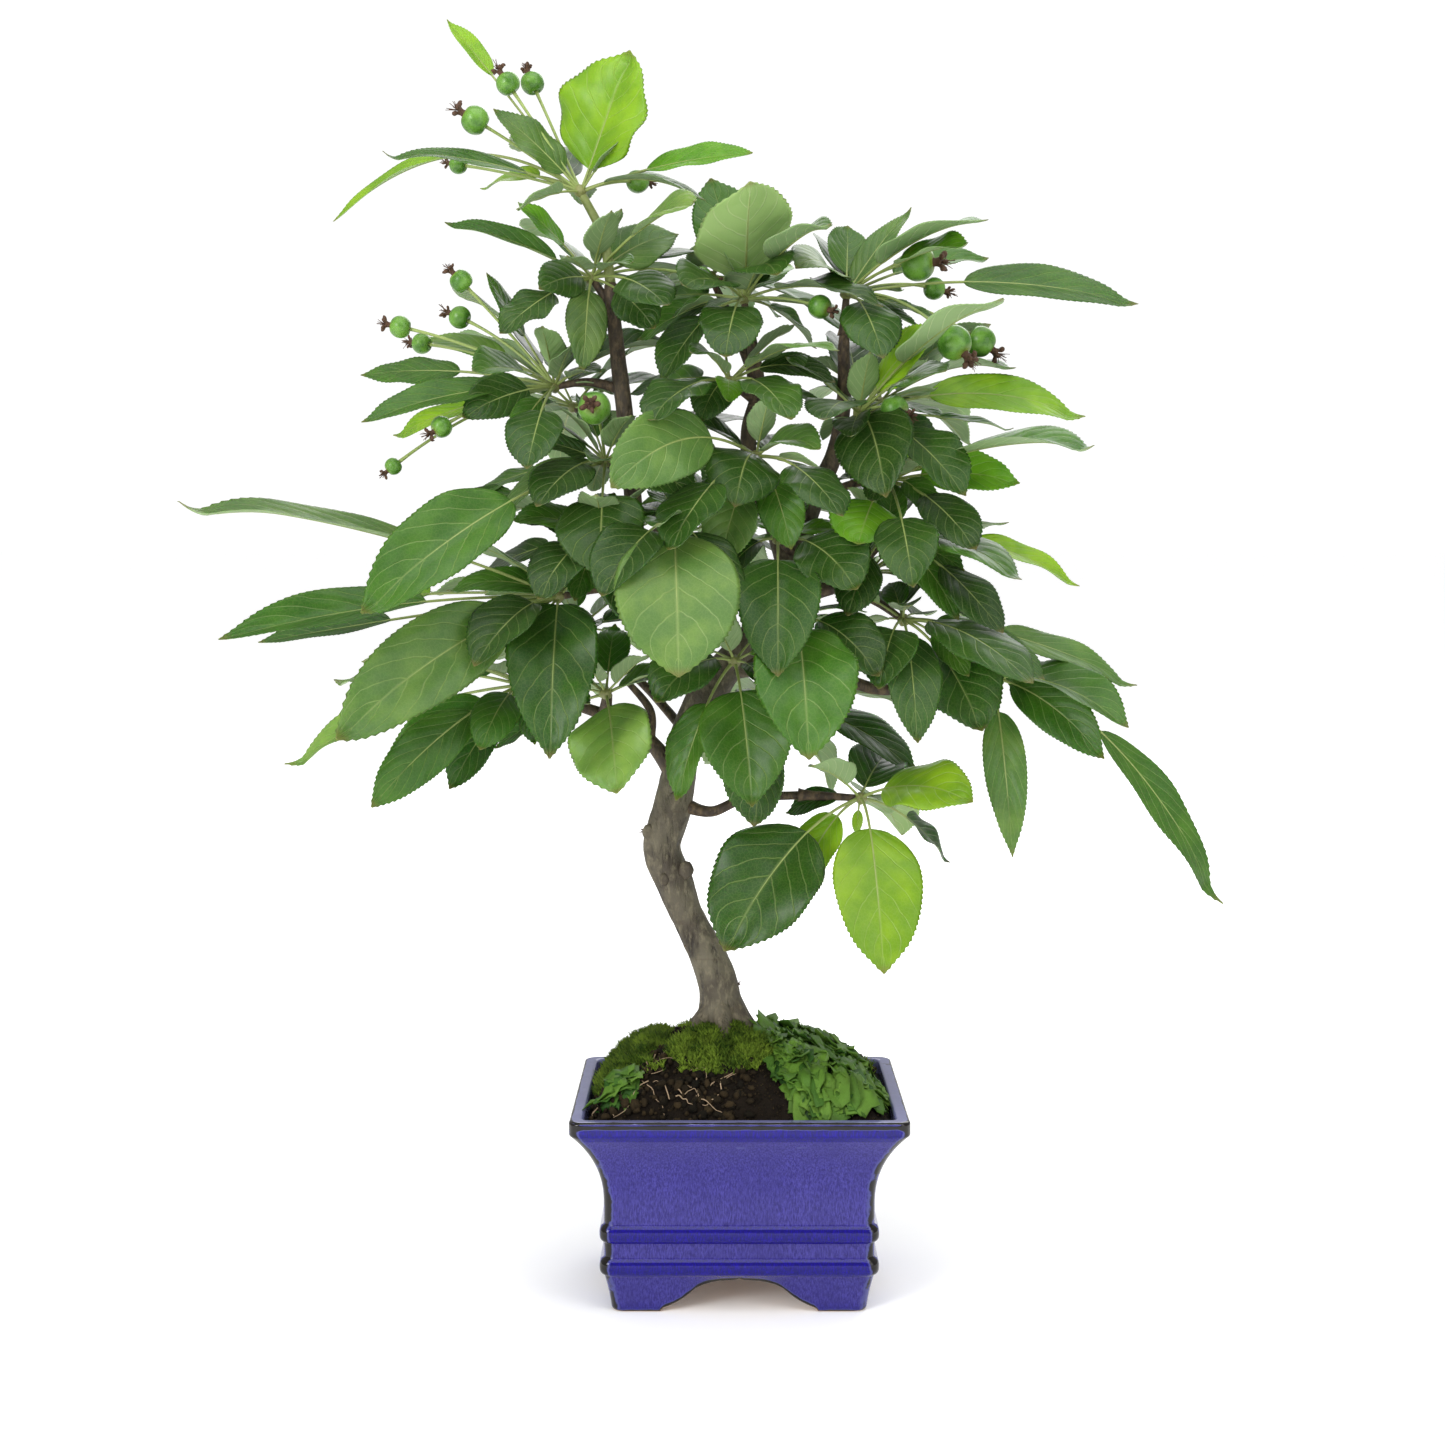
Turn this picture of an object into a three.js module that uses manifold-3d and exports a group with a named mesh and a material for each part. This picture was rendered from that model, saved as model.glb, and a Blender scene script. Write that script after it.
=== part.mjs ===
// A crab apple bonsai in a glazed pot, in millimetres: +Z up, +X to the right of the pot's front,
// the front towards -Y. The origin is the centre of the pot's footprint, on the ground.
// Everything above the soil is placed from the crest, the top of the soil mound.
import * as THREE from 'three';
import { mergeVertices } from 'three/addons/utils/BufferGeometryUtils.js';
import Module from 'manifold-3d';

const wasm = await Module();
wasm.setup();

// Pot: widths are across the front, and the depth is less by the same amount at every height.
const rimWidth = 140;
const rimDepth = 115;
const potHeight = 85;
const lipHeight = 6;
const waistWidth = 113;
const waistHeight = 46;
const footWidth = 107;
const footHeight = 15;
const wall = 6;
const footWall = 8;
const floorThickness = 6;
const cornerRadius = 5;
const ribHeight = 7;
const ribStandOut = 1.8;
const lowRibHeight = 20;
const highRibHeight = 34;
const frontArchWidth = 66;
const sideArchWidth = 42;
const archRise = 13.5;
const drainRadius = 7;
const drainOffset = 28;

// Drainage screens and the wire staples that hold them
const screenSize = 24;
const screenThickness = 0.8;
const stapleRadius = 0.6;
const stapleEndGap = 5.5;

// Soil and what grows on it
const soilBelowRim = 6;
const mossThickness = 5;
const liverwortThickness = 3.5;
const trunkFoot = [-7, 0];
const moundRise = 32;
const crestHeight = potHeight + moundRise;

// Tree
const treeScale = 1;
const leafThickness = 0.8;
const stalkRadius = 0.8;
const shootRadius = 2;
const budRadius = 2.6;
const leafSpacing = 1;
const extraLeafLength = 54;
const extraLeafWidth = 23;
const extraLeafReach = 64;

// Gap between pieces that touch
const clearance = 0.3;

// The wood: each limb is a run of [x, y, height above the crest, diameter].
const limbs = [
  [
    [-4, 0, -45, 17], [-6, 0, -22, 20], [-7, 0, -7, 22], [-8, 0, 8, 18.5], [-12, 0, 23, 16.5],
    [-22, 1, 43, 14], [-28, 2, 58, 16], [-33, 2, 73, 16.5], [-29, 1, 88, 17], [-26, 0, 103, 15],
    [-22, 0, 123, 13.5], [-14, 0, 138, 16], [-5, 0, 151, 14], [9, 1, 167, 13], [21, 2, 183, 12],
    [25, 3, 203, 11.5], [32, 3, 223, 9], [40, 0, 240, 7], [44, 0, 262, 6], [44, 0, 285, 5],
    [45, 0, 298, 3.5],
  ],
  [
    [-14, 0, 138, 10], [-30, 6, 160, 8.5], [-42, 4, 190, 8], [-45, 2, 222, 7.5],
    [-48, 1, 255, 7], [-52, 0, 290, 6.5], [-54, 0, 313, 5.5],
  ],
  [[22, 2, 190, 8.5], [14, 2, 212, 7.5], [6, 1, 228, 7], [4, 0, 250, 6.5], [8, 0, 268, 6], [4, 0, 294, 4.5]],
  [[-26, 0, 103, 8], [-38, 0, 119, 6], [-47, 0, 126, 5.5], [-60, 0, 131, 5], [-81, -9, 139, 4]],
  [[-5, 0, 151, 9], [20, -2, 150, 6.5], [45, -2, 145, 5.5], [62, -2, 141, 5], [89, -1, 143, 4]],
  [[21, 2, 180, 8], [42, 0, 185, 6]],
  [[-26, 0, 92, 6], [-12, -4, 89, 4.5], [3, -7, 95, 4], [27, -11, 97, 3.5]],
  [[-38, 0, 119, 4], [-38, 1, 132, 3.5], [-49, 0, 146, 2.5]],
  [[-56, 0, 130, 3], [-55, 1, 140, 2.2]],
];
const rootAngles = [-150, -95, -40, 35, 130];
const rootLength = 34;

// Sprays: each grows from a twig that runs from its first point to the bud. A leaf is
// [tip x, tip y, tip height, blade length, width, rise of its arc, turn to the front in degrees], a fruit
// is [centre x, y, height, radius, rise of its stalk], and more is [leaves, aim in degrees, tilt in
// degrees] for the leaves that fill the spray's far side.
const sprays = [
  {
    name: 'left_arm_end',
    twig: [[-79, -8, 139]],
    bud: [-91, -18, 144],
    leaves: [
      [-198, 20, 107, 78, 16, 12, 40],
      [-144, -50, 105, 56, 21, 10, 55],
      [-145, -75, 100, 62, 19, 12, 50],
      [-120, -30, 102, 40, 17, 6, 50],
      [-104, -58, 121, 36, 17, 10, 20],
      [-181, 48, 142, 58, 20, 10, 30],
    ],
    more: [2, 150, -10],
  },
  {
    name: 'left_arm_middle',
    twig: [[-58, 0, 130]],
    bud: [-56, -13, 140],
    leaves: [
      [-50, -46, 102, 42, 33, 12, 30],
      [-104, -2, 126, 30, 12, 6, 40],
    ],
    more: [2, 120, -20],
  },
  {
    name: 'left_arm_upper',
    twig: [[-38, 5, 180], [-56, -10, 184]],
    bud: [-75, -22, 181],
    leaves: [
      [-211, -104, 219, 108, 17, 14, 20],
      [-208, -56, 165, 84, 19, 10, 35],
      [-200, -20, 162, 56, 15, 2, 35],
      [-105, -66, 155, 44, 22, 14, 20],
      [-120, -30, 184, 44, 18, 10, 30],
      [-156, -88, 128, 92, 31, 14, 55],
      [-76, -62, 118, 78, 33, 20, 0],
      [-185, 38, 174, 60, 24, 8, 25],
    ],
    more: [2, 140, 5],
  },
  {
    name: 'left_leader_low',
    twig: [[-46, 2, 230]],
    bud: [-56, -10, 237],
    leaves: [
      [-145, -92, 177, 84, 28, 16, 50],
      [-144, 5, 191, 60, 30, 12, 40],
      [-98, -30, 216, 56, 15, 12, 25],
      [-81, -54, 218, 38, 22, 12, 15],
      [-29, -58, 233, 34, 20, 12, 10],
      [-116, 12, 223, 34, 13, 8, 30],
      [-56, -58, 191, 40, 33, 14, 10],
      [-19, -42, 222, 38, 20, 10, 40],
    ],
    fruit: [
      [-59, -34, 258, 6.8, 9],
    ],
    more: [2, 130, 15],
  },
  {
    name: 'left_side',
    twig: [[-50, 1, 268], [-64, 3, 271]],
    bud: [-78, 4, 269],
    leaves: [
      [-114, -22, 255, 34, 19, 6, 60],
      [-107, -46, 272, 36, 19, 8, 30],
      [-85, -52, 233, 38, 21, 12, 10],
      [-93, -28, 244, 30, 12, 6, 50],
      [-105, -8, 315, 30, 14, 0, 40],
      [-137, 30, 293, 44, 13, 8, 30],
      [-162, 18, 275, 44, 15, 8, 40],
      [-154, -34, 256, 62, 15, 9, 45],
      [-147, 8, 249, 38, 14, 6, 30],
    ],
    fruit: [
      [-123, -20, 251, 4.5, 6],
      [-116, -6, 312, 4.8, 2],
      [-143, 4, 294, 4.8, 6],
      [-137, 26, 289, 4.5, 6],
      [-119, 14, 299, 4.8, 6],
      [-144, -14, 235, 3.6, 10],
    ],
    more: [2, 110, 20],
  },
  {
    name: 'left_top_low',
    twig: [[-52, 0, 300]],
    bud: [-62, 3, 314],
    leaves: [
      [-124, 8, 338, 50, 12, 6, 25],
      [-18, -30, 337, 42, 22, 10, 40],
      [-97, -34, 288, 34, 18, 8, 30],
      [-29, -46, 298, 36, 21, 10, 25],
      [-26, 22, 335, 34, 24, 8, 50],
      [-93, 16, 299, 36, 18, 8, 30],
      [-64, -26, 274, 40, 16, 14, 20],
    ],
    fruit: [
      [-16, 10, 315, 5, 8],
    ],
    more: [2, 95, 10],
  },
  {
    name: 'top',
    shoot: [[-54, 0, 312], [-57, -1, 331]],
    bud: [-66, -3, 349],
    leaves: [
      [-122, 6, 421, 30, 9, 2, 40],
      [-169, -4, 337, 62, 10, 42, 30],
      [-144, -30, 361, 60, 12, 8, 35],
      [-111, 26, 355, 32, 13, 12, 30],
      [-45, -14, 404, 50, 44, 0, 70],
      [-43, 18, 399, 34, 15, 2, 60],
      [-101, -12, 381, 38, 17, 4, 50],
      [5, -26, 361, 46, 14, 6, 45],
    ],
    fruit: [
      [-96, -4, 393, 5, 0],
      [-109, -10, 377, 6, 2],
      [-87, 10, 396, 5, 0],
      [-119, 14, 363, 4, 2],
      [-43, 14, 356, 5, 3],
    ],
    more: [2, 85, 5],
  },
  {
    name: 'middle_top',
    twig: [[4, 0, 290]],
    bud: [2, 0, 305],
    leaves: [
      [4, -34, 348, 44, 40, 2, 20],
      [15, -36, 311, 42, 28, 18, 20],
      [-23, -48, 306, 38, 23, 10, 20],
      [36, -46, 325, 38, 20, 12, 20],
      [-6, -54, 277, 38, 23, 14, 5],
      [24, -10, 322, 46, 20, 10, 30],
      [-12, 20, 358, 40, 24, 4, 30],
      [-32, -18, 270, 34, 20, 16, 20],
      [-43, 6, 289, 36, 17, 8, 40],
      [-44, 26, 314, 38, 16, 6, 30],
    ],
    fruit: [
      [33, -20, 300, 5, 4],
    ],
    more: [2, 80, 5],
  },
  {
    name: 'middle_low',
    twig: [[8, 0, 262]],
    bud: [-4, -12, 270],
    leaves: [
      [-20, -34, 280, 34, 13, 10, 30],
      [-36, -58, 252, 40, 23, 12, 10],
      [20, -60, 252, 38, 22, 14, 10],
      [39, -26, 269, 34, 15, 14, 40],
      [-16, -30, 253, 30, 16, 10, 30],
      [-47, 22, 267, 40, 18, 8, 30],
    ],
    more: [2, 60, 10],
  },
  {
    name: 'right_top',
    twig: [[44, 0, 290]],
    bud: [45, 0, 307],
    leaves: [
      [73, 14, 345, 48, 13, 4, 25],
      [47, 26, 339, 30, 18, 4, 20],
      [23, -30, 315, 34, 25, 16, 30],
      [57, -48, 277, 40, 22, 14, 10],
      [91, -42, 323, 36, 18, 8, 30],
      [163, -22, 301, 72, 19, 14, 45],
      [108, 30, 316, 48, 20, 8, 20],
    ],
    fruit: [
      [74, -10, 319, 7.5, 6],
      [83, 12, 311, 4.8, 6],
      [88, -24, 285, 7.2, 14],
      [102, 4, 288, 6.5, 10],
    ],
    more: [2, 60, 10],
  },
  {
    name: 'right_upper',
    twig: [[41, 0, 246]],
    bud: [50, -8, 257],
    leaves: [
      [77, -30, 292, 36, 24, 4, 60],
      [144, -10, 256, 66, 21, 18, 50],
      [59, -44, 222, 44, 30, 18, 30],
      [81, -54, 271, 36, 22, 10, 30],
      [91, -46, 226, 40, 22, 14, 20],
      [33, -58, 252, 36, 22, 12, 5],
      [117, 10, 252, 34, 8, 4, 20],
    ],
    fruit: [
      [64, -20, 258, 6, 4],
    ],
    more: [2, 55, 15],
  },
  {
    name: 'centre_high',
    twig: [[6, 1, 230]],
    bud: [7, -16, 239],
    leaves: [
      [-50, -62, 225, 62, 27, 26, 60],
      [-2, -48, 218, 40, 29, 16, 20],
      [-8, -36, 195, 34, 20, 12, 30],
      [32, -48, 241, 38, 17, 10, 30],
      [-28, -68, 201, 40, 24, 16, 5],
      [40, -68, 214, 40, 24, 14, 10],
      [21, -36, 201, 34, 17, 14, 30],
    ],
  },
  {
    name: 'centre_front',
    twig: [[-43, 3, 200], [-35, -18, 207]],
    bud: [-27, -38, 213],
    leaves: [
      [-24, -84, 152, 66, 44, 22, 0],
      [-54, -66, 183, 40, 24, 12, 20],
      [-2, -62, 179, 36, 20, 12, 20],
    ],
  },
  {
    name: 'centre_right',
    twig: [[24, 3, 198]],
    bud: [16, -16, 205],
    leaves: [
      [15, -66, 151, 56, 30, 22, 5],
      [47, -50, 185, 36, 28, 14, 30],
      [-10, -34, 184, 30, 17, 12, 20],
    ],
  },
  {
    name: 'left_inner',
    twig: [[-44, 3, 200]],
    bud: [-57, -20, 205],
    leaves: [
      [-33, -62, 163, 50, 31, 16, 10],
      [-113, 12, 189, 40, 18, 8, 35],
      [-80, -66, 185, 38, 22, 14, 10],
      [-93, -36, 213, 36, 18, 8, 30],
    ],
    more: [2, 110, 0],
  },
  {
    name: 'right_shoulder',
    twig: [[32, 3, 221], [48, 0, 228]],
    bud: [63, -2, 229],
    leaves: [
      [116, -18, 228, 42, 18, 8, 55],
      [95, -46, 201, 38, 20, 12, 20],
      [69, -58, 186, 38, 23, 14, 5],
      [106, 16, 212, 34, 13, 4, 35],
      [101, 30, 236, 40, 20, 8, 20],
    ],
    more: [2, 50, 10],
  },
  {
    name: 'right_middle',
    twig: [[21, 2, 180], [42, 0, 185]],
    bud: [62, -6, 205],
    leaves: [
      [145, 4, 185, 52, 13, 16, 35],
      [107, -40, 167, 40, 19, 14, 25],
      [90, 24, 189, 36, 18, 10, 20],
      [90, -30, 172, 46, 15, 14, 40],
      [44, -40, 174, 32, 17, 14, 20],
    ],
    more: [2, 55, 0],
  },
  {
    name: 'right_low',
    twig: [[42, 0, 185], [57, -4, 179]],
    bud: [69, -8, 171],
    leaves: [
      [113, -14, 156, 34, 14, 10, 40],
      [124, -40, 148, 40, 18, 12, 30],
      [169, -2, 143, 64, 15, 12, 35],
      [99, -40, 127, 40, 33, 16, 20],
      [71, -60, 124, 54, 21, 20, 0],
      [56, -52, 145, 36, 22, 14, 10],
    ],
    more: [2, 50, -10],
  },
  {
    name: 'right_end',
    twig: [[85, -1, 143]],
    bud: [108, 0, 146],
    leaves: [
      [146, -10, 134, 44, 18, 8, 50],
      [150, -34, 115, 54, 20, 12, 50],
      [144, 20, 119, 34, 17, 10, 35],
      [208, 0, 49, 92, 18, 44, 55],
      [114, -26, 73, 62, 16, 18, 20],
    ],
    more: [2, 60, -15],
  },
  {
    name: 'low_right',
    twig: [[25, -11, 97]],
    bud: [51, -14, 96],
    leaves: [
      [94, -52, 99, 46, 28, 12, 35],
      [58, -62, 31, 62, 33, 34, 0],
      [91, 4, 66, 30, 16, 12, 30],
      [-6, -56, 39, 62, 40, 22, 35],
      [23, -20, 56, 38, 20, 14, 35],
      [68, 26, 112, 40, 22, 8, 20],
    ],
    more: [1, 70, -20],
  },
  {
    name: 'centre_low',
    twig: [[-4, 0, 150]],
    bud: [-2, -18, 154],
    leaves: [
      [5, -50, 97, 50, 34, 18, 10],
      [-34, -44, 139, 36, 25, 14, 25],
      [-26, -36, 98, 42, 17, 18, 15],
    ],
  },
  {
    name: 'centre_hanging',
    twig: [[14, 1, 172]],
    bud: [23, -22, 172],
    leaves: [
      [27, -76, 119, 62, 37, 26, 0],
      [56, -50, 145, 38, 22, 14, 30],
      [6, -34, 87, 40, 25, 28, 20],
    ],
  },
  {
    name: 'rear_left_low',
    twig: [[-22, 0, 122], [-42, 22, 142]],
    bud: [-70, 38, 165],
    leaves: [],
    more: [6, 135, -5],
  },
  {
    name: 'rear_left_high',
    twig: [[-48, 1, 245], [-58, 20, 252]],
    bud: [-72, 34, 262],
    leaves: [],
    more: [6, 125, 10],
  },
  {
    name: 'rear_centre_low',
    twig: [[0, 0, 158], [-6, 28, 186]],
    bud: [-8, 40, 212],
    leaves: [],
    more: [6, 95, 0],
  },
  {
    name: 'rear_centre_high',
    twig: [[6, 0, 274], [-4, 20, 300]],
    bud: [-12, 32, 318],
    leaves: [],
    more: [4, 100, 15],
  },
  {
    name: 'rear_right_low',
    twig: [[20, 2, 182], [38, 26, 186]],
    bud: [58, 38, 190],
    leaves: [],
    more: [6, 50, -5],
  },
  {
    name: 'rear_right_high',
    twig: [[43, 0, 250], [52, 20, 257]],
    bud: [62, 34, 264],
    leaves: [],
    more: [6, 60, 10],
  },
  {
    name: 'rear_foot',
    twig: [[-16, 0, 133], [0, 22, 130]],
    bud: [18, 38, 130],
    leaves: [],
    more: [5, 70, -20],
  },
];

const degrees = Math.PI / 180;
const up = new THREE.Vector3(0, 0, 1);
const goldenAngle = 137.5;

// ---- Solids ----

function toSolid(geometry) {
  geometry.deleteAttribute('normal');
  geometry.deleteAttribute('uv');
  const merged = mergeVertices(geometry, 1e-4);
  return new wasm.Manifold(new wasm.Mesh({
    numProp: 3,
    vertProperties: new Float32Array(merged.attributes.position.array),
    triVerts: new Uint32Array(merged.index.array),
  }));
}

function join(solids) {
  return wasm.Manifold.union(solids);
}

// The biggest body of a solid: leaves out specks that a cut sets loose.
function mainBody(solid) {
  const bodies = solid.decompose();
  bodies.sort((one, other) => other.volume() - one.volume());
  return bodies[0];
}

function toGeometry(solid) {
  const mesh = solid.getMesh();
  const geometry = new THREE.BufferGeometry();
  geometry.setAttribute('position', new THREE.BufferAttribute(mesh.vertProperties, 3));
  geometry.setIndex(new THREE.BufferAttribute(mesh.triVerts, 1));
  return geometry;
}

// A tube along a smooth run of points, with a radius at each point.
function taperedTube(points, radii, sides, steps) {
  const path = new THREE.CatmullRomCurve3(points, false, 'centripetal');
  const frames = path.computeFrenetFrames(steps);
  const geometry = new THREE.CylinderGeometry(1, 1, 1, sides, steps);
  const position = geometry.attributes.position;
  for (let i = 0; i < position.count; i += 1) {
    const step = Math.round((0.5 - position.getY(i)) * steps);
    const share = step / steps;
    const along = share * (radii.length - 1);
    const before = Math.min(Math.floor(along), radii.length - 2);
    const radius = THREE.MathUtils.lerp(radii[before], radii[before + 1], along - before);
    const place = path.getPoint(share);
    place.addScaledVector(frames.normals[step], position.getX(i) * radius);
    place.addScaledVector(frames.binormals[step], position.getZ(i) * radius);
    position.setXYZ(i, place.x, place.y, place.z);
  }
  return outward(toSolid(geometry), geometry);
}

// Turns a solid's faces round if they point in.
function outward(solid, geometry) {
  if (solid.volume() > 0) {
    return solid;
  }
  const order = geometry.index.array;
  for (let i = 0; i < order.length; i += 3) {
    [order[i], order[i + 1]] = [order[i + 1], order[i]];
  }
  return toSolid(geometry);
}

// A ball of a given radius at a point, with few faces.
function ball(centre, radius) {
  const geometry = new THREE.IcosahedronGeometry(radius, 0);
  geometry.translate(centre.x, centre.y, centre.z);
  return toSolid(geometry);
}

// A block between two heights with an outline in X and Y.
function block(shape, low, high) {
  const geometry = new THREE.ExtrudeGeometry(shape, {
    depth: high - low,
    bevelEnabled: false,
    curveSegments: 4,
  });
  geometry.translate(0, 0, low);
  return toSolid(geometry);
}

// ---- Pot ----

const widthOverDepth = (rimWidth - rimDepth) / 2;
const cornerSteps = 2;
const floorTop = footHeight + floorThickness;

// One turn of a rounded rectangle, as points in X and Y: three on each corner and one mid side.
function ring(half, corner) {
  const deep = half - widthOverDepth;
  const points = [];
  for (let quarter = 0; quarter < 4; quarter += 1) {
    const signX = quarter === 0 || quarter === 3 ? 1 : -1;
    const signY = quarter < 2 ? 1 : -1;
    for (let step = 0; step <= cornerSteps; step += 1) {
      const angle = (quarter + step / cornerSteps) * 90 * degrees;
      points.push([
        signX * (half - corner) + corner * Math.cos(angle),
        signY * (deep - corner) + corner * Math.sin(angle),
      ]);
    }
    const sides = [[0, deep], [-half, 0], [0, -deep], [half, 0]];
    points.push(sides[quarter]);
  }
  return points;
}

// A turned solid whose circles are drawn out into rounded rectangles. Its profile is a run of
// [half width, height, corner radius], from the axis and back to it.
function rectangularLathe(profile) {
  const turns = (cornerSteps + 2) * 4;
  const outline = profile.map(([half, height]) => new THREE.Vector2(half, height));
  const geometry = new THREE.LatheGeometry(outline, turns);
  const position = geometry.attributes.position;
  for (let i = 0; i < position.count; i += 1) {
    const turn = Math.floor(i / profile.length) % turns;
    const [half, height, corner] = profile[i % profile.length];
    const [x, y] = half === 0 ? [0, 0] : ring(half, corner)[turn];
    position.setXYZ(i, x, y, height);
  }
  return toSolid(geometry);
}

// Half width of the pot's outside at a height between the waist and the lip: a hollow flare.
function flareHalf(height) {
  const share = (height - waistHeight) / (potHeight - lipHeight - waistHeight);
  return waistWidth / 2 + (rimWidth - waistWidth) / 2 * share ** 2.2;
}

function ribProfile(middle) {
  const half = waistWidth / 2;
  return [
    [half, middle - ribHeight / 2, cornerRadius],
    [half + ribStandOut, middle - ribHeight / 5, cornerRadius],
    [half + ribStandOut, middle + ribHeight / 5, cornerRadius],
    [half, middle + ribHeight / 2, cornerRadius],
  ];
}

function insideHalf(height) {
  return flareHalf(Math.max(height, waistHeight)) - wall;
}

const flareSteps = [0, 0.3, 0.55, 0.8, 1].map(
  (share) => waistHeight + share * (potHeight - lipHeight - waistHeight),
);

function potBody() {
  const innerCorner = cornerRadius - 2;
  const profile = [
    [0, footHeight, 0],
    [footWidth / 2 - footWall, footHeight, innerCorner],
    [footWidth / 2 - footWall, 0, innerCorner],
    [footWidth / 2, 0, cornerRadius],
    ...ribProfile(lowRibHeight),
    ...ribProfile(highRibHeight),
    ...flareSteps.map((height) => [flareHalf(height), height, cornerRadius]),
    [rimWidth / 2, potHeight, cornerRadius],
    [rimWidth / 2 - wall, potHeight, innerCorner],
    ...flareSteps.slice().reverse().map((height) => [insideHalf(height), height, innerCorner]),
    [insideHalf(floorTop), floorTop, innerCorner],
    [0, floorTop, 0],
  ];
  return rectangularLathe(profile);
}

// The bracket-shaped opening between two feet, cut through along X or Y.
function archCutter(width, turned) {
  const half = width / 2;
  const shape = new THREE.Shape();
  shape.moveTo(-half, -1);
  shape.lineTo(half, -1);
  shape.lineTo(half - 1, 1.5);
  shape.quadraticCurveTo(half * 0.72, archRise * 0.3, half * 0.55, archRise * 0.75);
  shape.quadraticCurveTo(half * 0.4, archRise, half * 0.12, archRise);
  shape.lineTo(0, archRise + 0.8);
  shape.lineTo(-half * 0.12, archRise);
  shape.quadraticCurveTo(-half * 0.4, archRise, -half * 0.55, archRise * 0.75);
  shape.quadraticCurveTo(-half * 0.72, archRise * 0.3, -half + 1, 1.5);
  const geometry = new THREE.ExtrudeGeometry(shape, {
    depth: rimWidth,
    bevelEnabled: false,
    curveSegments: 3,
  });
  geometry.translate(0, 0, -rimWidth / 2);
  geometry.rotateX(90 * degrees);
  if (turned) {
    geometry.rotateZ(90 * degrees);
  }
  return toSolid(geometry);
}

const drains = [
  { side: 'left', x: -drainOffset },
  { side: 'right', x: drainOffset },
];

function drainCutter(x) {
  const geometry = new THREE.CylinderGeometry(drainRadius, drainRadius, floorThickness * 3, 16);
  geometry.rotateX(90 * degrees);
  geometry.translate(x, 0, footHeight + floorThickness / 2);
  return toSolid(geometry);
}

const pot = potBody()
  .subtract(archCutter(frontArchWidth, false))
  .subtract(archCutter(sideArchWidth, true))
  .subtract(join(drains.map((drain) => drainCutter(drain.x))));

// ---- Drainage ----

const screenBottom = floorTop + clearance;
const stapleTop = screenBottom + screenThickness + clearance + stapleRadius;
const stapleLeg = drainRadius / 2;
const stapleReach = footWidth / 2 - footWall - stapleEndGap - drainOffset;

function screenPlate(x, grow) {
  const side = screenSize + 2 * grow;
  const geometry = new THREE.BoxGeometry(side, side, screenThickness + 2 * grow);
  geometry.translate(x, 0, screenBottom + screenThickness / 2);
  return toSolid(geometry);
}

// A staple: over the screen, down through the drain hole and out along the pot's underside.
function staple(x, radius) {
  const under = footHeight - clearance - stapleRadius;
  const halfRun = [
    [stapleLeg * 0.7, stapleTop],
    [stapleLeg, stapleTop - 1],
    [stapleLeg, under + 1],
    [stapleLeg * 1.4, under],
    [stapleReach, under],
  ];
  const points = [];
  for (const [across, height] of halfRun.slice().reverse()) {
    points.push(new THREE.Vector3(x - across, 0, height));
  }
  for (const [across, height] of halfRun) {
    points.push(new THREE.Vector3(x + across, 0, height));
  }
  const radii = points.map(() => radius);
  return taperedTube(points, radii, 4, 18);
}

// ---- Soil ----

const soilEdge = potHeight - soilBelowRim;
const soilGap = clearance + 0.1;

// Height of the mound, from 1 at the pot's wall to 0 at the trunk.
function moundHeight(share) {
  const fall = 0.7 * share + 0.3 * share ** 8;
  return crestHeight - (crestHeight - soilEdge) * fall;
}

function soilBody() {
  const innerCorner = cornerRadius - 2;
  const edgeHalf = insideHalf(soilEdge) - soilGap;
  const shares = [0.92, 0.75, 0.55, 0.35, 0.15, 0];
  const profile = [
    [0, floorTop + clearance, 0],
    [insideHalf(floorTop) - soilGap, floorTop + clearance, innerCorner],
    ...flareSteps.map((height) => [insideHalf(height) - soilGap, height, innerCorner]).slice(0, -1),
    [edgeHalf, soilEdge, innerCorner],
    ...shares.map((share) => [edgeHalf, moundHeight(share), innerCorner]),
  ];
  const turns = (cornerSteps + 2) * 4;
  const geometry = new THREE.LatheGeometry(
    profile.map(([half, height]) => new THREE.Vector2(half, height)),
    turns,
  );
  const position = geometry.attributes.position;
  const firstMound = profile.length - shares.length;
  for (let i = 0; i < position.count; i += 1) {
    const turn = Math.floor(i / profile.length) % turns;
    const row = i % profile.length;
    const [half, height, corner] = profile[row];
    const [x, y] = half === 0 ? [0, 0] : ring(half, corner)[turn];
    if (row < firstMound) {
      position.setXYZ(i, x, y, height);
    } else {
      const share = shares[row - firstMound];
      const acrossMound = THREE.MathUtils.lerp(trunkFoot[0], x, share);
      const alongMound = THREE.MathUtils.lerp(trunkFoot[1], y, share);
      position.setXYZ(i, acrossMound, alongMound, height);
    }
  }
  return toSolid(geometry);
}

// The liverwort on the right spreads from its middle to the pot's wall on its right and in front.
const liverwortMiddle = [37, -9];
const liverwortAcross = insideHalf(soilEdge) + 1 - liverwortMiddle[0];
const liverwortDeep = insideHalf(soilEdge) - widthOverDepth - 0.5 + liverwortMiddle[1];

// What grows on the mound, from [x, y] at its middle.
const pads = [
  { name: 'moss_front', finish: 'moss', middle: [-8, -19], across: 22, deep: 13, thickness: mossThickness },
  { name: 'moss_left', finish: 'moss', middle: [-46, 6], across: 17, deep: 27, thickness: mossThickness },
  { name: 'liverwort_right', finish: 'liverwort', middle: liverwortMiddle, across: liverwortAcross,
    deep: liverwortDeep, thickness: liverwortThickness },
  { name: 'liverwort_left', finish: 'liverwort', middle: [-50, -37], across: 10, deep: 8,
    thickness: liverwortThickness },
];

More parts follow.
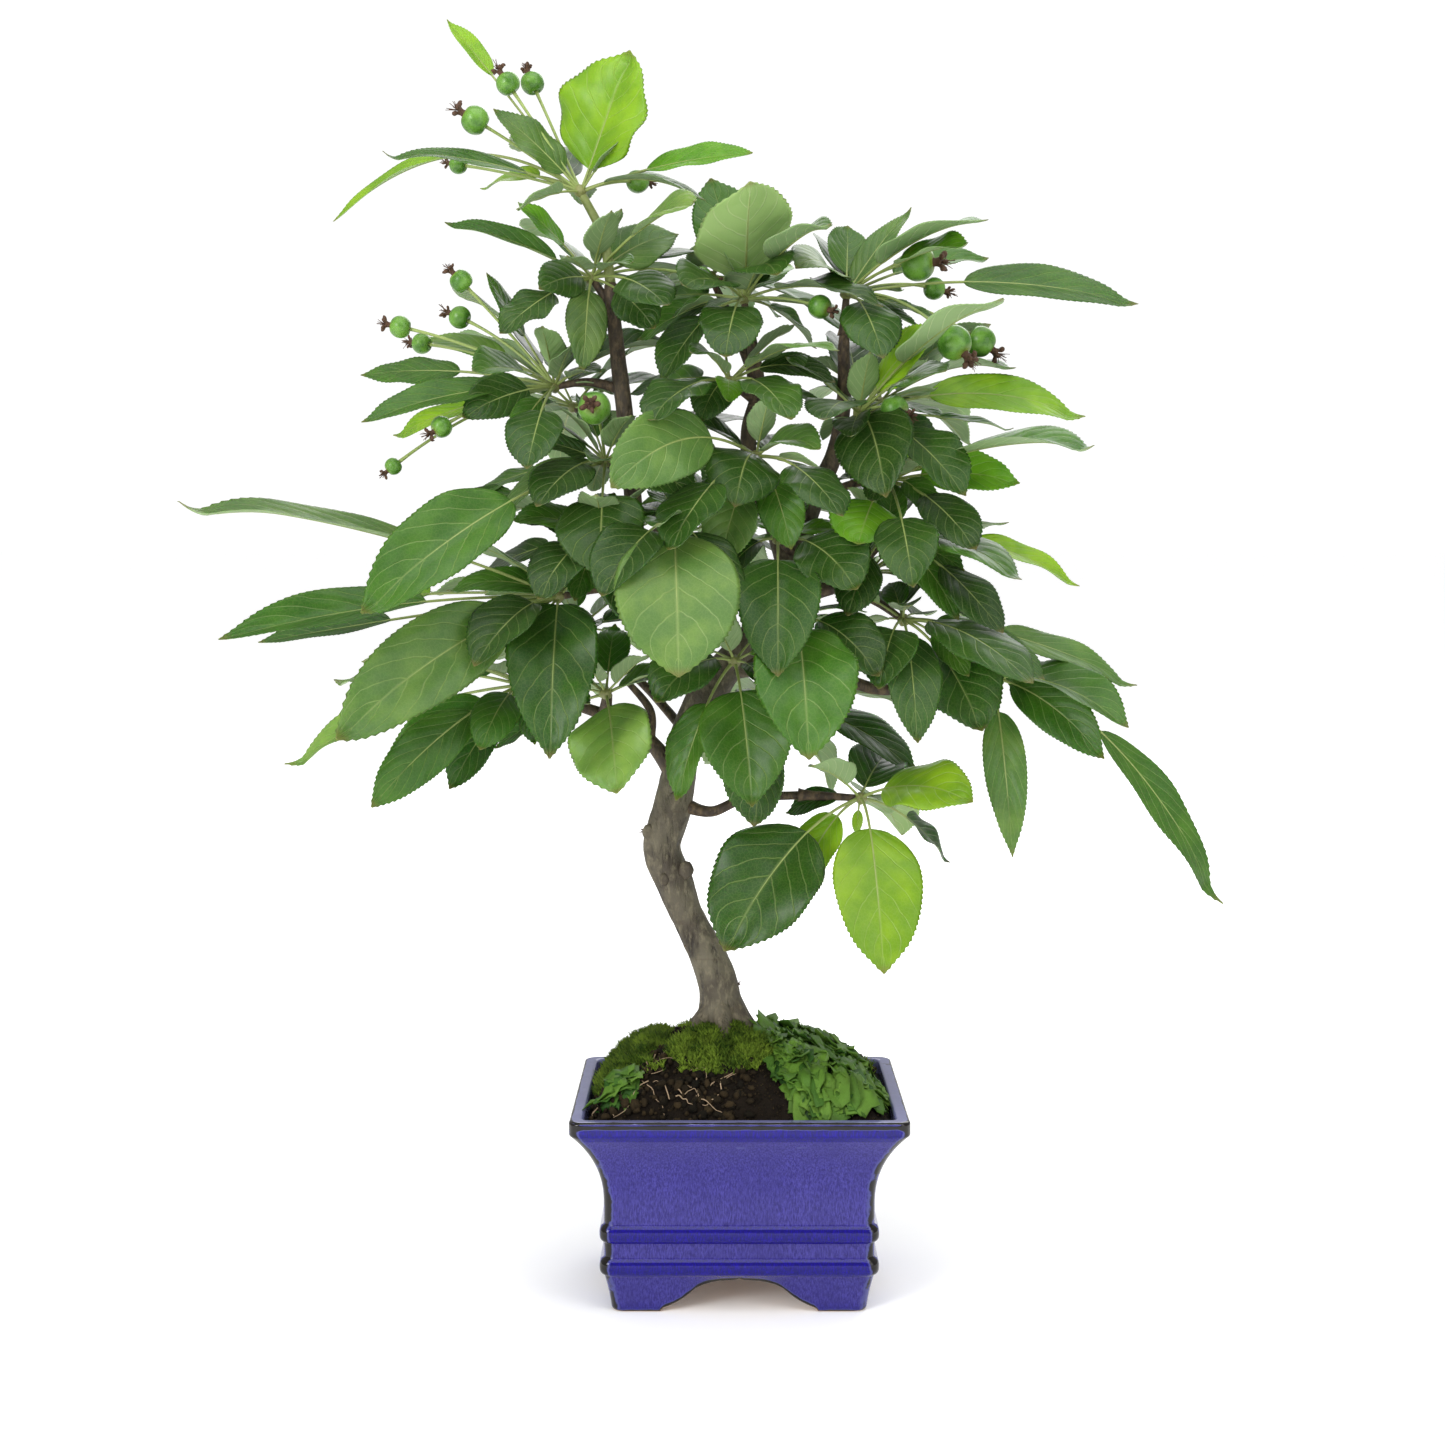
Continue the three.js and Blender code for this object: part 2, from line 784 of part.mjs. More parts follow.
// An egg-shaped lump that follows the mound.
function padLump({ middle, across, deep, thickness }, grow) {
  const geometry = new THREE.SphereGeometry(1, 14, 6);
  geometry.rotateX(90 * degrees);
  const position = geometry.attributes.position;
  for (let i = 0; i < position.count; i += 1) {
    const x = middle[0] + (across + grow) * position.getX(i);
    const y = middle[1] + (deep + grow) * position.getY(i);
    const top = (thickness + grow) * Math.sqrt(Math.max(position.getZ(i), 0));
    position.setXYZ(i, x, y, surfaceHeight(x, y) + (position.getZ(i) > 0 ? top : -thickness));
  }
  return toSolid(geometry);
}

// Each pad keeps inside the pot and clear of the soil, the wood and the pads before it.
function growPads() {
  const taken = [soil, soil.translate(0, 0, clearance), woodSolid(2 * clearance)];
  for (const pad of pads) {
    pad.solid = mainBody(padLump(pad, 0).intersect(potInside).subtract(join(taken)));
    taken.push(padLump(pad, clearance));
  }
}

// Height of the soil under a point.
function surfaceHeight(x, y) {
  const half = insideHalf(soilEdge);
  const wide = x > trunkFoot[0] ? half - trunkFoot[0] : half + trunkFoot[0];
  const deep = half - widthOverDepth;
  const share = Math.max(Math.abs(x - trunkFoot[0]) / wide, Math.abs(y - trunkFoot[1]) / deep);
  return moundHeight(Math.min(share, 1));
}

// ---- Wood ----

function treePoint([x, y, height]) {
  return new THREE.Vector3(
    trunkFoot[0] + (x - trunkFoot[0]) * treeScale,
    trunkFoot[1] + (y - trunkFoot[1]) * treeScale,
    crestHeight + height * treeScale,
  );
}

// The bud is just past the end of the wood, so the twig stops inside it.
function twigSolid(spray, grow) {
  const points = [...spray.twig, spray.bud].map(treePoint);
  const bud = points[points.length - 1];
  const back = points[points.length - 2].clone().sub(bud).setLength(clearance);
  points[points.length - 1] = bud.clone().add(back);
  const radii = points.map((point, i) => grow + THREE.MathUtils.lerp(2.1, 1.3, i / (points.length - 1)));
  return taperedTube(points, radii, 4, 2 * (points.length - 1));
}

function limbSolid(limb, grow, sides) {
  const points = limb.map(treePoint);
  const radii = limb.map((row) => (row[3] / 2) * treeScale + grow);
  return taperedTube(points, radii, sides, points.length - 1);
}

function rootSolid(angle, grow) {
  const across = Math.cos(angle * degrees);
  const deep = Math.sin(angle * degrees);
  const run = [[4, 6, 5.5], [12, -1, 4.2], [22, -9, 3], [rootLength, -24, 1.6]];
  const points = run.map(([out, height]) => new THREE.Vector3(
    trunkFoot[0] + across * out,
    trunkFoot[1] + deep * out,
    crestHeight + height,
  ));
  const radii = run.map((row) => row[2] + grow);
  return taperedTube(points, radii, 5, 4);
}

// All the wood in one piece, thicker by grow where other pieces need their clearance from it.
function woodSolid(grow) {
  const solids = limbs.map((limb, i) => limbSolid(limb, grow, i === 0 ? 9 : 5));
  for (const angle of rootAngles) {
    solids.push(rootSolid(angle, grow));
  }
  for (const spray of sprays) {
    if (!spray.shoot) {
      solids.push(twigSolid(spray, grow));
    }
  }
  return join(solids);
}

const wood = woodSolid(0);
const woodRoom = woodSolid(clearance);

const staples = drains.map((drain) => staple(drain.x, stapleRadius));
const stapleRoom = drains.map((drain) => staple(drain.x, stapleRadius + clearance));
const screens = drains.map((drain, i) => screenPlate(drain.x, 0).subtract(stapleRoom[i]));
const screenRoom = drains.map((drain) => screenPlate(drain.x, clearance));
const soil = mainBody(soilBody().subtract(woodRoom).subtract(join([...stapleRoom, ...screenRoom])));

const insideShape = new THREE.Shape();
ring(insideHalf(soilEdge) - soilGap - clearance, cornerRadius - 2).forEach(([x, y], i) => {
  if (i === 0) {
    insideShape.moveTo(x, y);
  } else {
    insideShape.lineTo(x, y);
  }
});
insideShape.closePath();
const potInside = block(insideShape, soilEdge + clearance, crestHeight + 50);

growPads();

// ---- Leaves ----

// The arc of a stalk: from the bud, through a high point, to its end.
function arc(from, to, rise) {
  const high = from.clone().lerp(to, 0.5).addScaledVector(up, rise * treeScale);
  return new THREE.QuadraticBezierCurve3(from, high, to);
}

// A leaf or a part of one: a thin flat strip along an arc, with a half width at each station.
function stripSolid(path, stations, face) {
  const pieces = stations.length - 1;
  const geometry = new THREE.BoxGeometry(2, leafThickness, pieces, 1, 1, pieces);
  const position = geometry.attributes.position;
  const run = path.getPointAt(1).sub(path.getPointAt(0)).setZ(0).normalize();
  const across = new THREE.Vector3().crossVectors(run, up);
  const turn = (run.x >= 0 ? face : -face) * degrees;
  for (let i = 0; i < position.count; i += 1) {
    const [at, half] = stations[Math.round(position.getZ(i) + pieces / 2)];
    const level = new THREE.Vector3().crossVectors(across, path.getTangentAt(at));
    const normal = level.clone().multiplyScalar(Math.cos(turn)).addScaledVector(across, Math.sin(turn));
    const side = across.clone().multiplyScalar(Math.cos(turn)).addScaledVector(level, -Math.sin(turn));
    const place = path.getPointAt(at);
    place.addScaledVector(side, position.getX(i) * half);
    place.addScaledVector(normal, position.getY(i));
    position.setXYZ(i, place.x, place.y, place.z);
  }
  return outward(toSolid(geometry), geometry);
}

function stalkSolid(path, to) {
  const points = [0, 0.5, 1].map((share) => path.getPointAt(share * to));
  return taperedTube(points, points.map(() => stalkRadius), 3, 2);
}

// A leaf on its stalk, its blade alone, and clear, the part beyond the bud, which keeps off the wood.
function leafSolid(bud, leaf, shift) {
  const [, , , length, width, rise, face] = leaf;
  const tip = treePoint(leaf).add(shift);
  const path = arc(bud, tip, rise);
  const reach = path.getLength();
  const besideBud = (2 * budRadius) / reach;
  const start = Math.max(1 - (length * treeScale) / reach, 1.1 * besideBud);
  const half = (width / 2) * treeScale;
  const blade = [
    [start, stalkRadius],
    [start + (1 - start) * 0.33, half],
    [start + (1 - start) * 0.7, half * 0.75],
    [1, leafThickness / 2],
  ];
  return {
    blade: stripSolid(path, blade, face),
    whole: stripSolid(path, [[0, stalkRadius], ...blade], face),
    clear: stripSolid(path, [[besideBud, stalkRadius], ...blade], face),
  };
}

// The far side of a spray is filled by a fixed rule: each leaf a golden angle on from the last.
function extraLeaves(spray) {
  const [count, aim, tilt] = spray.more ?? [0, 0, 0];
  const rows = [];
  for (let i = 0; i < count; i += 1) {
    const spread = ((i * goldenAngle) % 200) - 100;
    const angle = (aim + (count > 1 ? spread : 0)) * degrees;
    const raised = (tilt + 28 * Math.sin(2.4 * i)) * degrees;
    const size = 1 + 0.16 * Math.cos(1.7 * i + spray.bud[0]);
    const reach = extraLeafReach * size;
    rows.push([
      spray.bud[0] + reach * Math.cos(angle) * Math.cos(raised),
      spray.bud[1] + reach * Math.sin(angle) * Math.cos(raised),
      spray.bud[2] + reach * Math.sin(raised),
      extraLeafLength * size,
      extraLeafWidth * size,
      14,
      i % 2 === 0 ? 12 : -16,
    ]);
  }
  return rows;
}

// Steps aside that a leaf may take to find room, the smallest first and depth before height.
const asides = [[0, 1, 0], [0, -1, 0], [0, 0, -1], [0, 0, 1], [-1, 0, 0], [1, 0, 0],
  [0, 0.7, -0.7], [0, 0.7, 0.7], [0, -0.7, -0.7], [0, -0.7, 0.7]];
const asideSteps = [0, 5, 10, 16, 22, 30, 38, 48];
const shifts = asideSteps.flatMap((step) => (step === 0 ? [[0, 0, 0]] : asides.map(
  (way) => way.map((part) => part * step),
)));

function boxesNear(one, other, gap) {
  const a = one.boundingBox();
  const b = other.boundingBox();
  return [0, 1, 2].every((i) => a.min[i] - gap < b.max[i] && b.min[i] - gap < a.max[i]);
}

function near(one, other, gap) {
  return boxesNear(one, other, gap) && one.minGap(other, gap) < gap;
}

// Fruit: a squat ball, flat where the stalk meets it, with a stub where the flower was.
function fruitSolid(centre, radius, away) {
  const profile = [
    [0, -1.4], [0.34, -1.4], [0.22, -0.96], [0.8, -0.62], [1, 0.05], [0.7, 0.78], [0.3, 0.9], [0, 0.9],
  ].map(([out, along]) => new THREE.Vector2(out * radius, along * radius));
  const geometry = new THREE.LatheGeometry(profile, 7);
  geometry.applyQuaternion(new THREE.Quaternion().setFromUnitVectors(new THREE.Vector3(0, -1, 0), away));
  geometry.translate(centre.x, centre.y, centre.z);
  return toSolid(geometry);
}

const fruits = [];
const placed = [];
for (const spray of sprays) {
  spray.budPoint = treePoint(spray.bud);
  spray.pieces = [ball(spray.budPoint, budRadius)];
  if (spray.shoot) {
    const points = [...spray.shoot, spray.bud].map(treePoint);
    spray.pieces.push(taperedTube(points, points.map(() => shootRadius), 5, 4));
  }
  for (const [x, y, height, radius, rise] of spray.fruit ?? []) {
    const centre = treePoint([x, y, height]);
    const path = arc(spray.budPoint, centre, rise);
    const away = path.getTangentAt(1);
    const stalkEnd = 1 - (radius * 0.9 + 2 * clearance) / path.getLength();
    spray.pieces.push(stalkSolid(path, stalkEnd));
    fruits.push(fruitSolid(centre, radius, away));
  }
  for (const piece of spray.pieces) {
    placed.push({ spray, piece });
  }
}

const fixedSolids = [pot, soil, ...pads.map((pad) => pad.solid), ...fruits];

function hasRoom(leaf, spray) {
  return !near(leaf.clear, wood, leafSpacing)
    && !fixedSolids.some((solid) => near(leaf.whole, solid, leafSpacing))
    && !placed.some((other) => {
      if (other.spray !== spray) {
        return near(leaf.whole, other.piece, leafSpacing);
      }
      return Boolean(other.blade) && near(leaf.blade, other.blade, leafSpacing / 2);
    });
}

// Every leaf takes the first place that has room for it. The shaped leaves go before the fillers.
function growLeaves(rowsOf) {
  for (const spray of sprays) {
    for (const row of rowsOf(spray)) {
      for (const shift of shifts) {
        const leaf = leafSolid(spray.budPoint, row, new THREE.Vector3(...shift).multiplyScalar(treeScale));
        if (hasRoom(leaf, spray)) {
          spray.pieces.push(leaf.whole);
          placed.push({ spray, piece: leaf.whole, blade: leaf.blade });
          break;
        }
      }
    }
  }
}
growLeaves((spray) => spray.leaves);
growLeaves(extraLeaves);

// ---- The object ----

const finishes = {
  glaze: { color: 0x4a42a8, roughness: 0.2, metalness: 0 },
  mesh: { color: 0x20221f, roughness: 0.6, metalness: 0 },
  wire: { color: 0x9a6a48, roughness: 0.4, metalness: 0.9 },
  soil: { color: 0x3c2d1e, roughness: 0.95, metalness: 0 },
  moss: { color: 0x506e23, roughness: 0.95, metalness: 0 },
  liverwort: { color: 0x3c7328, roughness: 0.6, metalness: 0 },
  bark: { color: 0x827869, roughness: 0.85, metalness: 0 },
  leaf: { color: 0x3f6b30, roughness: 0.5, metalness: 0 },
  youngLeaf: { color: 0x82af32, roughness: 0.45, metalness: 0 },
  fruit: { color: 0x5a9632, roughness: 0.35, metalness: 0 },
};

const bonsai = new THREE.Group();

function addPiece(name, solid, finish) {
  const mesh = new THREE.Mesh(toGeometry(solid), new THREE.MeshStandardMaterial(finishes[finish]));
  mesh.name = name;
  bonsai.add(mesh);
}

addPiece('pot', pot, 'glaze');
drains.forEach((drain, i) => {
  addPiece(`drainage_screen_${drain.side}`, screens[i], 'mesh');
  addPiece(`screen_staple_${drain.side}`, staples[i], 'wire');
});
addPiece('soil', soil, 'soil');
pads.forEach((pad) => addPiece(pad.name, pad.solid, pad.finish));
addPiece('trunk', wood, 'bark');
fruits.forEach((solid, i) => addPiece(`fruit_${i + 1}`, solid, 'fruit'));
for (const spray of sprays) {
  const solid = mainBody(join(spray.pieces).subtract(woodRoom));
  addPiece(`leaves_${spray.name}`, solid, spray.young ? 'youngLeaf' : 'leaf');
}

export default bonsai;
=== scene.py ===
import bpy
import numpy as np
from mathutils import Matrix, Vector


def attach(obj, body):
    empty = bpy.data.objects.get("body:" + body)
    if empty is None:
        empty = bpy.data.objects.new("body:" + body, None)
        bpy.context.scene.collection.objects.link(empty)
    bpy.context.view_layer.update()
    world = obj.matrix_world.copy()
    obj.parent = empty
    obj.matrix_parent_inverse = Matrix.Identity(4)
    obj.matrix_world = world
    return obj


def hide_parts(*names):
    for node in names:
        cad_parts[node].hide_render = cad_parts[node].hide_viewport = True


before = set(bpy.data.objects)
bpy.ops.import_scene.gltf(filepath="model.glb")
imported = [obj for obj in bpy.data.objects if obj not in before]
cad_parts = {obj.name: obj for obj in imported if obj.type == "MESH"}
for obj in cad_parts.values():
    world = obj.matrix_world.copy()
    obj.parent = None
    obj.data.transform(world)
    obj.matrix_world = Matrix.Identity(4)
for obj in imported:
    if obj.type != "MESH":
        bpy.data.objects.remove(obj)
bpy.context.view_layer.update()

# A crab apple bonsai in a glazed pot. Lengths in this script are millimetres, made metres in makePiece.
metresPerMillimetre = 0.001
upward = np.array([0.0, 0.0, 1.0])
print("frame loaded:", len(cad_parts), "nodes")


# Vectors brought to length 1
def unit(vectors):
    return vectors / np.maximum(np.linalg.norm(vectors, axis=-1, keepdims=True), 1e-9)


# Angles of even steps round a circle, from 0
def turnAngles(count):
    return np.arange(count) * 2 * np.pi / count


# Columns or numbers brought to one shape and set side by side as points
def grid(*columns):
    return np.stack(np.broadcast_arrays(*columns), -1)


# Value noise, from -1 to 1: each corner of a cubic lattice has the number fract(43758.5 sin(corner . k)),
# and a point blends its eight corners with the curve 3f^2 - 2f^3 along each axis.
def noise(points, cell, seed=0.0):
    scaled = np.asarray(points, float) / cell
    base = np.floor(scaled)
    f = scaled - base
    f = f * f * (3 - 2 * f)
    total = 0.0
    for corner in np.ndindex(2, 2, 2):
        hashed = np.sin((base + corner) @ np.array([127.1, 311.7, 74.7]) + seed * 17.3) * 43758.5453
        weight = np.prod(np.where(corner, f, 1 - f), axis=-1)
        total = total + weight * (hashed - np.floor(hashed))
    return total * 2 - 1


# Noise at three sizes, each half as big and half as strong as the one before it.
def roughness(points, cell, seed=0.0):
    return (noise(points, cell, seed) + 0.5 * noise(points, cell / 2, seed + 1)
            + 0.25 * noise(points, cell / 4, seed + 2)) / 1.75


# Faces of a skin of rings, ring i place j being point i * around + j. The last two points close its ends
# with fans. A triangle has -1 as its fourth corner.
def ringFaces(rows, around):
    lastRing = (rows - 1) * around
    j = np.arange(around)
    k = (j + 1) % around
    first = grid(rows * around, k, j, -1)
    last = grid(rows * around + 1, lastRing + j, lastRing + k, -1)
    return np.concatenate([loopFaces(rows, around)[:lastRing], first, last])


# Faces of a skin of rings whose last ring joins the first, as on a frame or a washer.
def loopFaces(rows, around):
    i, j = np.meshgrid(np.arange(rows), np.arange(around), indexing="ij")
    k = (j + 1) % around
    n = (i + 1) % rows
    return grid(i * around + j, i * around + k, n * around + k, n * around + j).reshape(-1, 4)


# One closed skin with its marks: tint is a colour for each point, wear a number for each point, finish its
# place in the piece's list of materials. Its faces are turned outwards by the sign of its volume.
def skin(points, faces, tint=(0.5, 0.5, 0.5), wear=0.0, finish=0, uv=None):
    points = np.asarray(points, float)
    if uv is None:
        uv = np.zeros((len(faces), 4, 2))
    filled = np.where(faces < 0, faces[:, :1], faces)
    a, b, c, d = (points[filled[:, corner]] for corner in range(4))
    volume = np.sum(a * np.cross(b, c)) + np.sum(a * np.cross(c, d))
    if volume < 0:
        faces = faces[:, [2, 1, 0, 3]]
        uv = uv[:, [2, 1, 0, 3]]
    return dict(points=points, faces=faces, uv=uv, finish=np.full(len(faces), finish),
                tint=np.broadcast_to(np.asarray(tint, float), (len(points), 3)),
                wear=np.broadcast_to(np.asarray(wear, float), len(points)))


# One object from many skins, riding on the body and standing for its CAD nodes.
def makePiece(name, skins, finishes, slotName, *nodes):
    whole = {key: np.concatenate([s[key] for s in skins])
             for key in ("points", "uv", "finish", "tint", "wear")}
    starts = np.cumsum([0] + [len(s["points"]) for s in skins[:-1]])
    faces = np.concatenate([np.where(s["faces"] < 0, -1, s["faces"] + start)
                            for s, start in zip(skins, starts)])
    points = whole["points"] * metresPerMillimetre
    used = faces >= 0
    corners = used.sum(1)
    loopStarts = np.concatenate([[0], np.cumsum(corners)[:-1]])
    mesh = bpy.data.meshes.new(name)
    mesh.vertices.add(len(points))
    mesh.vertices.foreach_set("co", points.astype(np.float32).ravel())
    mesh.loops.add(int(corners.sum()))
    mesh.loops.foreach_set("vertex_index", faces[used].astype(np.int32))
    mesh.polygons.add(len(faces))
    mesh.polygons.foreach_set("loop_start", loopStarts.astype(np.int32))
    mesh.polygons.foreach_set("material_index", whole["finish"].astype(np.int32))
    mesh.polygons.foreach_set("use_smooth", np.ones(len(faces), bool))
    tint = np.insert(whole["tint"], 3, 1.0, axis=1).astype(np.float32)
    mesh.attributes.new("tint", "FLOAT_COLOR", "POINT").data.foreach_set("color", tint.ravel())
    wear = whole["wear"].astype(np.float32)
    mesh.attributes.new("wear", "FLOAT", "POINT").data.foreach_set("value", wear)
    uv = whole["uv"][used].astype(np.float32)
    mesh.uv_layers.new(name="blade").data.foreach_set("uv", uv.ravel())
    mesh.update(calc_edges=True)
    for finish in finishes:
        mesh.materials.append(finish)
    piece = bpy.data.objects.new(name, mesh)
    bpy.context.scene.collection.objects.link(piece)
    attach(piece, "root")
    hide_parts(*nodes)


# A smooth run through points, about one sample per step: between b and c, with neighbours a and d, it is
# (2b + (c - a)t + (2a - 5b + 4c - d)t^2 + (3b - a - 3c + d)t^3) / 2. Extra columns run smoothly with it.
def smoothRun(points, step):
    p = np.asarray(points, float)
    p = np.vstack([2 * p[0] - p[1], p, 2 * p[-1] - p[-2]])
    longest = np.linalg.norm(np.diff(p[:, :3], axis=0), axis=1).max()
    count = max(2, int(np.ceil(longest / step)))
    t = (np.arange(count) / count)[None, :, None]
    a, b, c, d = (q[:, None] for q in (p[:-3], p[1:-2], p[2:-1], p[3:]))
    run = (2 * b + (c - a) * t + (2 * a - 5 * b + 4 * c - d) * t**2 + (3 * b - a - 3 * c + d) * t**3) / 2
    return np.vstack([run.reshape(-1, p.shape[1]), p[-2]])


# Directions round each place of a path: side cos a + front sin a. The side is square to the path and to the
# axis that the path runs along least.
def directionsRound(path, around):
    along = unit(np.gradient(path, axis=0))
    side = unit(np.cross(np.eye(3)[np.abs(along).max(0).argmin()], along))
    front = np.cross(along, side)
    a = turnAngles(around)[None, :, None]
    return side[:, None] * np.cos(a) + front[:, None] * np.sin(a)


# A skin round a path: path + radius (side cos a + front sin a). The radius may change along and around.
def tube(path, radii, around, **marks):
    path = np.asarray(path, float)
    radii = np.asarray(radii, float)
    radii = radii[:, None] if radii.ndim == 1 else radii
    points = path[:, None] + radii[..., None] * directionsRound(path, around)
    points = np.concatenate([points.reshape(-1, 3), path[:1], path[-1:]])
    return skin(points, ringFaces(len(path), around), **marks)


# One turn of a rounded rectangle for each level: corner arcs joined by straight sides.
def rectangleRings(half, deep, corner, longSteps, shortSteps, cornerSteps):
    half, deep, corner = (np.asarray(v, float)[:, None] for v in (half, deep, corner))
    arcs = []
    for quarter, (signX, signY) in enumerate([(1, 1), (-1, 1), (-1, -1), (1, -1)]):
        a = (quarter + np.arange(cornerSteps + 1) / cornerSteps) * np.pi / 2
        arcs.append(np.stack([signX * (half - corner) + corner * np.cos(a),
                              signY * (deep - corner) + corner * np.sin(a)], -1))
    turn = []
    for quarter in range(4):
        here = arcs[quarter][:, -1:]
        after = arcs[(quarter + 1) % 4][:, :1]
        count = longSteps if quarter % 2 == 0 else shortSteps
        t = (np.arange(1, count) / count)[None, :, None]
        turn += [arcs[quarter], here + (after - here) * t]
    return np.concatenate(turn, 1)


# One shape's faces repeated for each of its copies, whose points follow one another
def copyFaces(faces, copies, pointCount):
    starts = (np.arange(copies) * pointCount)[:, None, None]
    return np.where(faces[None] < 0, -1, faces[None] + starts).reshape(-1, 4)


# One small shape set down many times: turned about +Z, scaled, leant by `leans` times height, and moved.
def scatter(shape, faces, places, sizes, turns, leans, tints):
    cos, sin = np.cos(turns)[:, None], np.sin(turns)[:, None]
    x = shape[None, :, 0] * cos - shape[None, :, 1] * sin
    y = shape[None, :, 0] * sin + shape[None, :, 1] * cos
    points = grid(x, y, shape[None, :, 2]) * sizes[:, None, :]
    points = points + leans[:, None, :] * points[..., 2:3]
    points = (points + places[:, None, :]).reshape(-1, 3)
    return skin(points, copyFaces(faces, len(places), len(shape)), tint=np.repeat(tints, len(shape), axis=0))


# sRGB steps of 0 to 255 as linear colour
def colour(red, green, blue):
    c = np.array([red, green, blue]) / 255
    return tuple(np.where(c <= 0.04045, c / 12.92, ((c + 0.055) / 1.055) ** 2.4))


# A colour for each share, from the first at 0 to the second at 1
def tintsBetween(first, second, share):
    return np.array(first) * (1 - share) + np.array(second) * share


# A material with its tree and its shader, which is joined to the output
def newMaterial(name):
    material = bpy.data.materials.new(name)
    material.use_nodes = True
    tree = material.node_tree
    tree.nodes.clear()
    shader = tree.nodes.new("ShaderNodeBsdfPrincipled")
    output = tree.nodes.new("ShaderNodeOutputMaterial")
    tree.links.new(shader.outputs[0], output.inputs[0])
    return material, tree, shader


# Links a node's output to an input, or sets the input to a number or colour
def setInput(tree, socket, value):
    if isinstance(value, bpy.types.NodeSocket):
        tree.links.new(value, socket)
    else:
        socket.default_value = value


# The same for several of a node's inputs
def setShader(tree, shader, inputs):
    for key, value in inputs.items():
        setInput(tree, shader.inputs[key], value)


# A node with its settings and inputs
def addNode(tree, kind, inputs=None, **settings):
    made = tree.nodes.new("ShaderNode" + kind)
    for key, value in settings.items():
        setattr(made, key, value)
    setShader(tree, made, inputs or {})
    return made


# The output of a sum, product or other operation on two values
def mathNode(tree, operation, first, second=0.0):
    return addNode(tree, "Math", {0: first, 1: second}, operation=operation).outputs[0]


# first * second
def times(tree, first, second):
    return mathNode(tree, "MULTIPLY", first, second)


# first + second
def plus(tree, first, second):
    return mathNode(tree, "ADD", first, second)


# A smooth step from `low` to `high`, as `start` to `end`
def smoothStep(tree, value, low, high, start=0.0, end=1.0):
    made = addNode(tree, "MapRange", {"Value": value, "From Min": low, "From Max": high,
                                      "To Min": start, "To Max": end}, interpolation_type="SMOOTHSTEP")
    return made.outputs[0]


# Two colours mixed by a factor: (1 - factor) first + factor second
def mixColour(tree, factor, first, second, way="MIX"):
    made = addNode(tree, "Mix", {0: factor}, data_type="RGBA", blend_type=way)
    for place, value in ((6, first), (7, second)):
        linked = isinstance(value, bpy.types.NodeSocket)
        setInput(tree, made.inputs[place], value if linked else (*value, 1))
    return made.outputs[2]


# Noise on object coordinates, in cells per metre, stretched along an axis by a scale below 1
def objectNoise(tree, scale, detail=4.0, stretch=(1, 1, 1), rough=0.55):
    place = addNode(tree, "TexCoord").outputs["Object"]
    turned = addNode(tree, "Mapping", {"Vector": place, "Scale": stretch}).outputs[0]
    inputs = {"Vector": turned, "Scale": scale, "Detail": detail, "Roughness": rough}
    return addNode(tree, "TexNoise", inputs).outputs[0]


# A mark that makePiece gave the points: "wear" as a number, or "tint" as a colour
def readMark(tree, name, output="Fac"):
    return addNode(tree, "Attribute", attribute_name=name).outputs[output]


# Bends the shader's normal by a height, `distance` metres high
def setBump(tree, shader, height, distance, strength=1.0):
    bump = addNode(tree, "Bump", {"Height": height, "Distance": distance, "Strength": strength})
    setInput(tree, shader.inputs["Normal"], bump.outputs[0])


leafFinish = dict(
    veins=6.5,            # pairs of side veins
    veinSlope=0.36,       # how far a vein runs to the tip by the margin
    paleBack=(0.30, 0.40, 0.20),
    gloss=0.40,           # roughness of the upper side
    youngGloss=0.36,
)


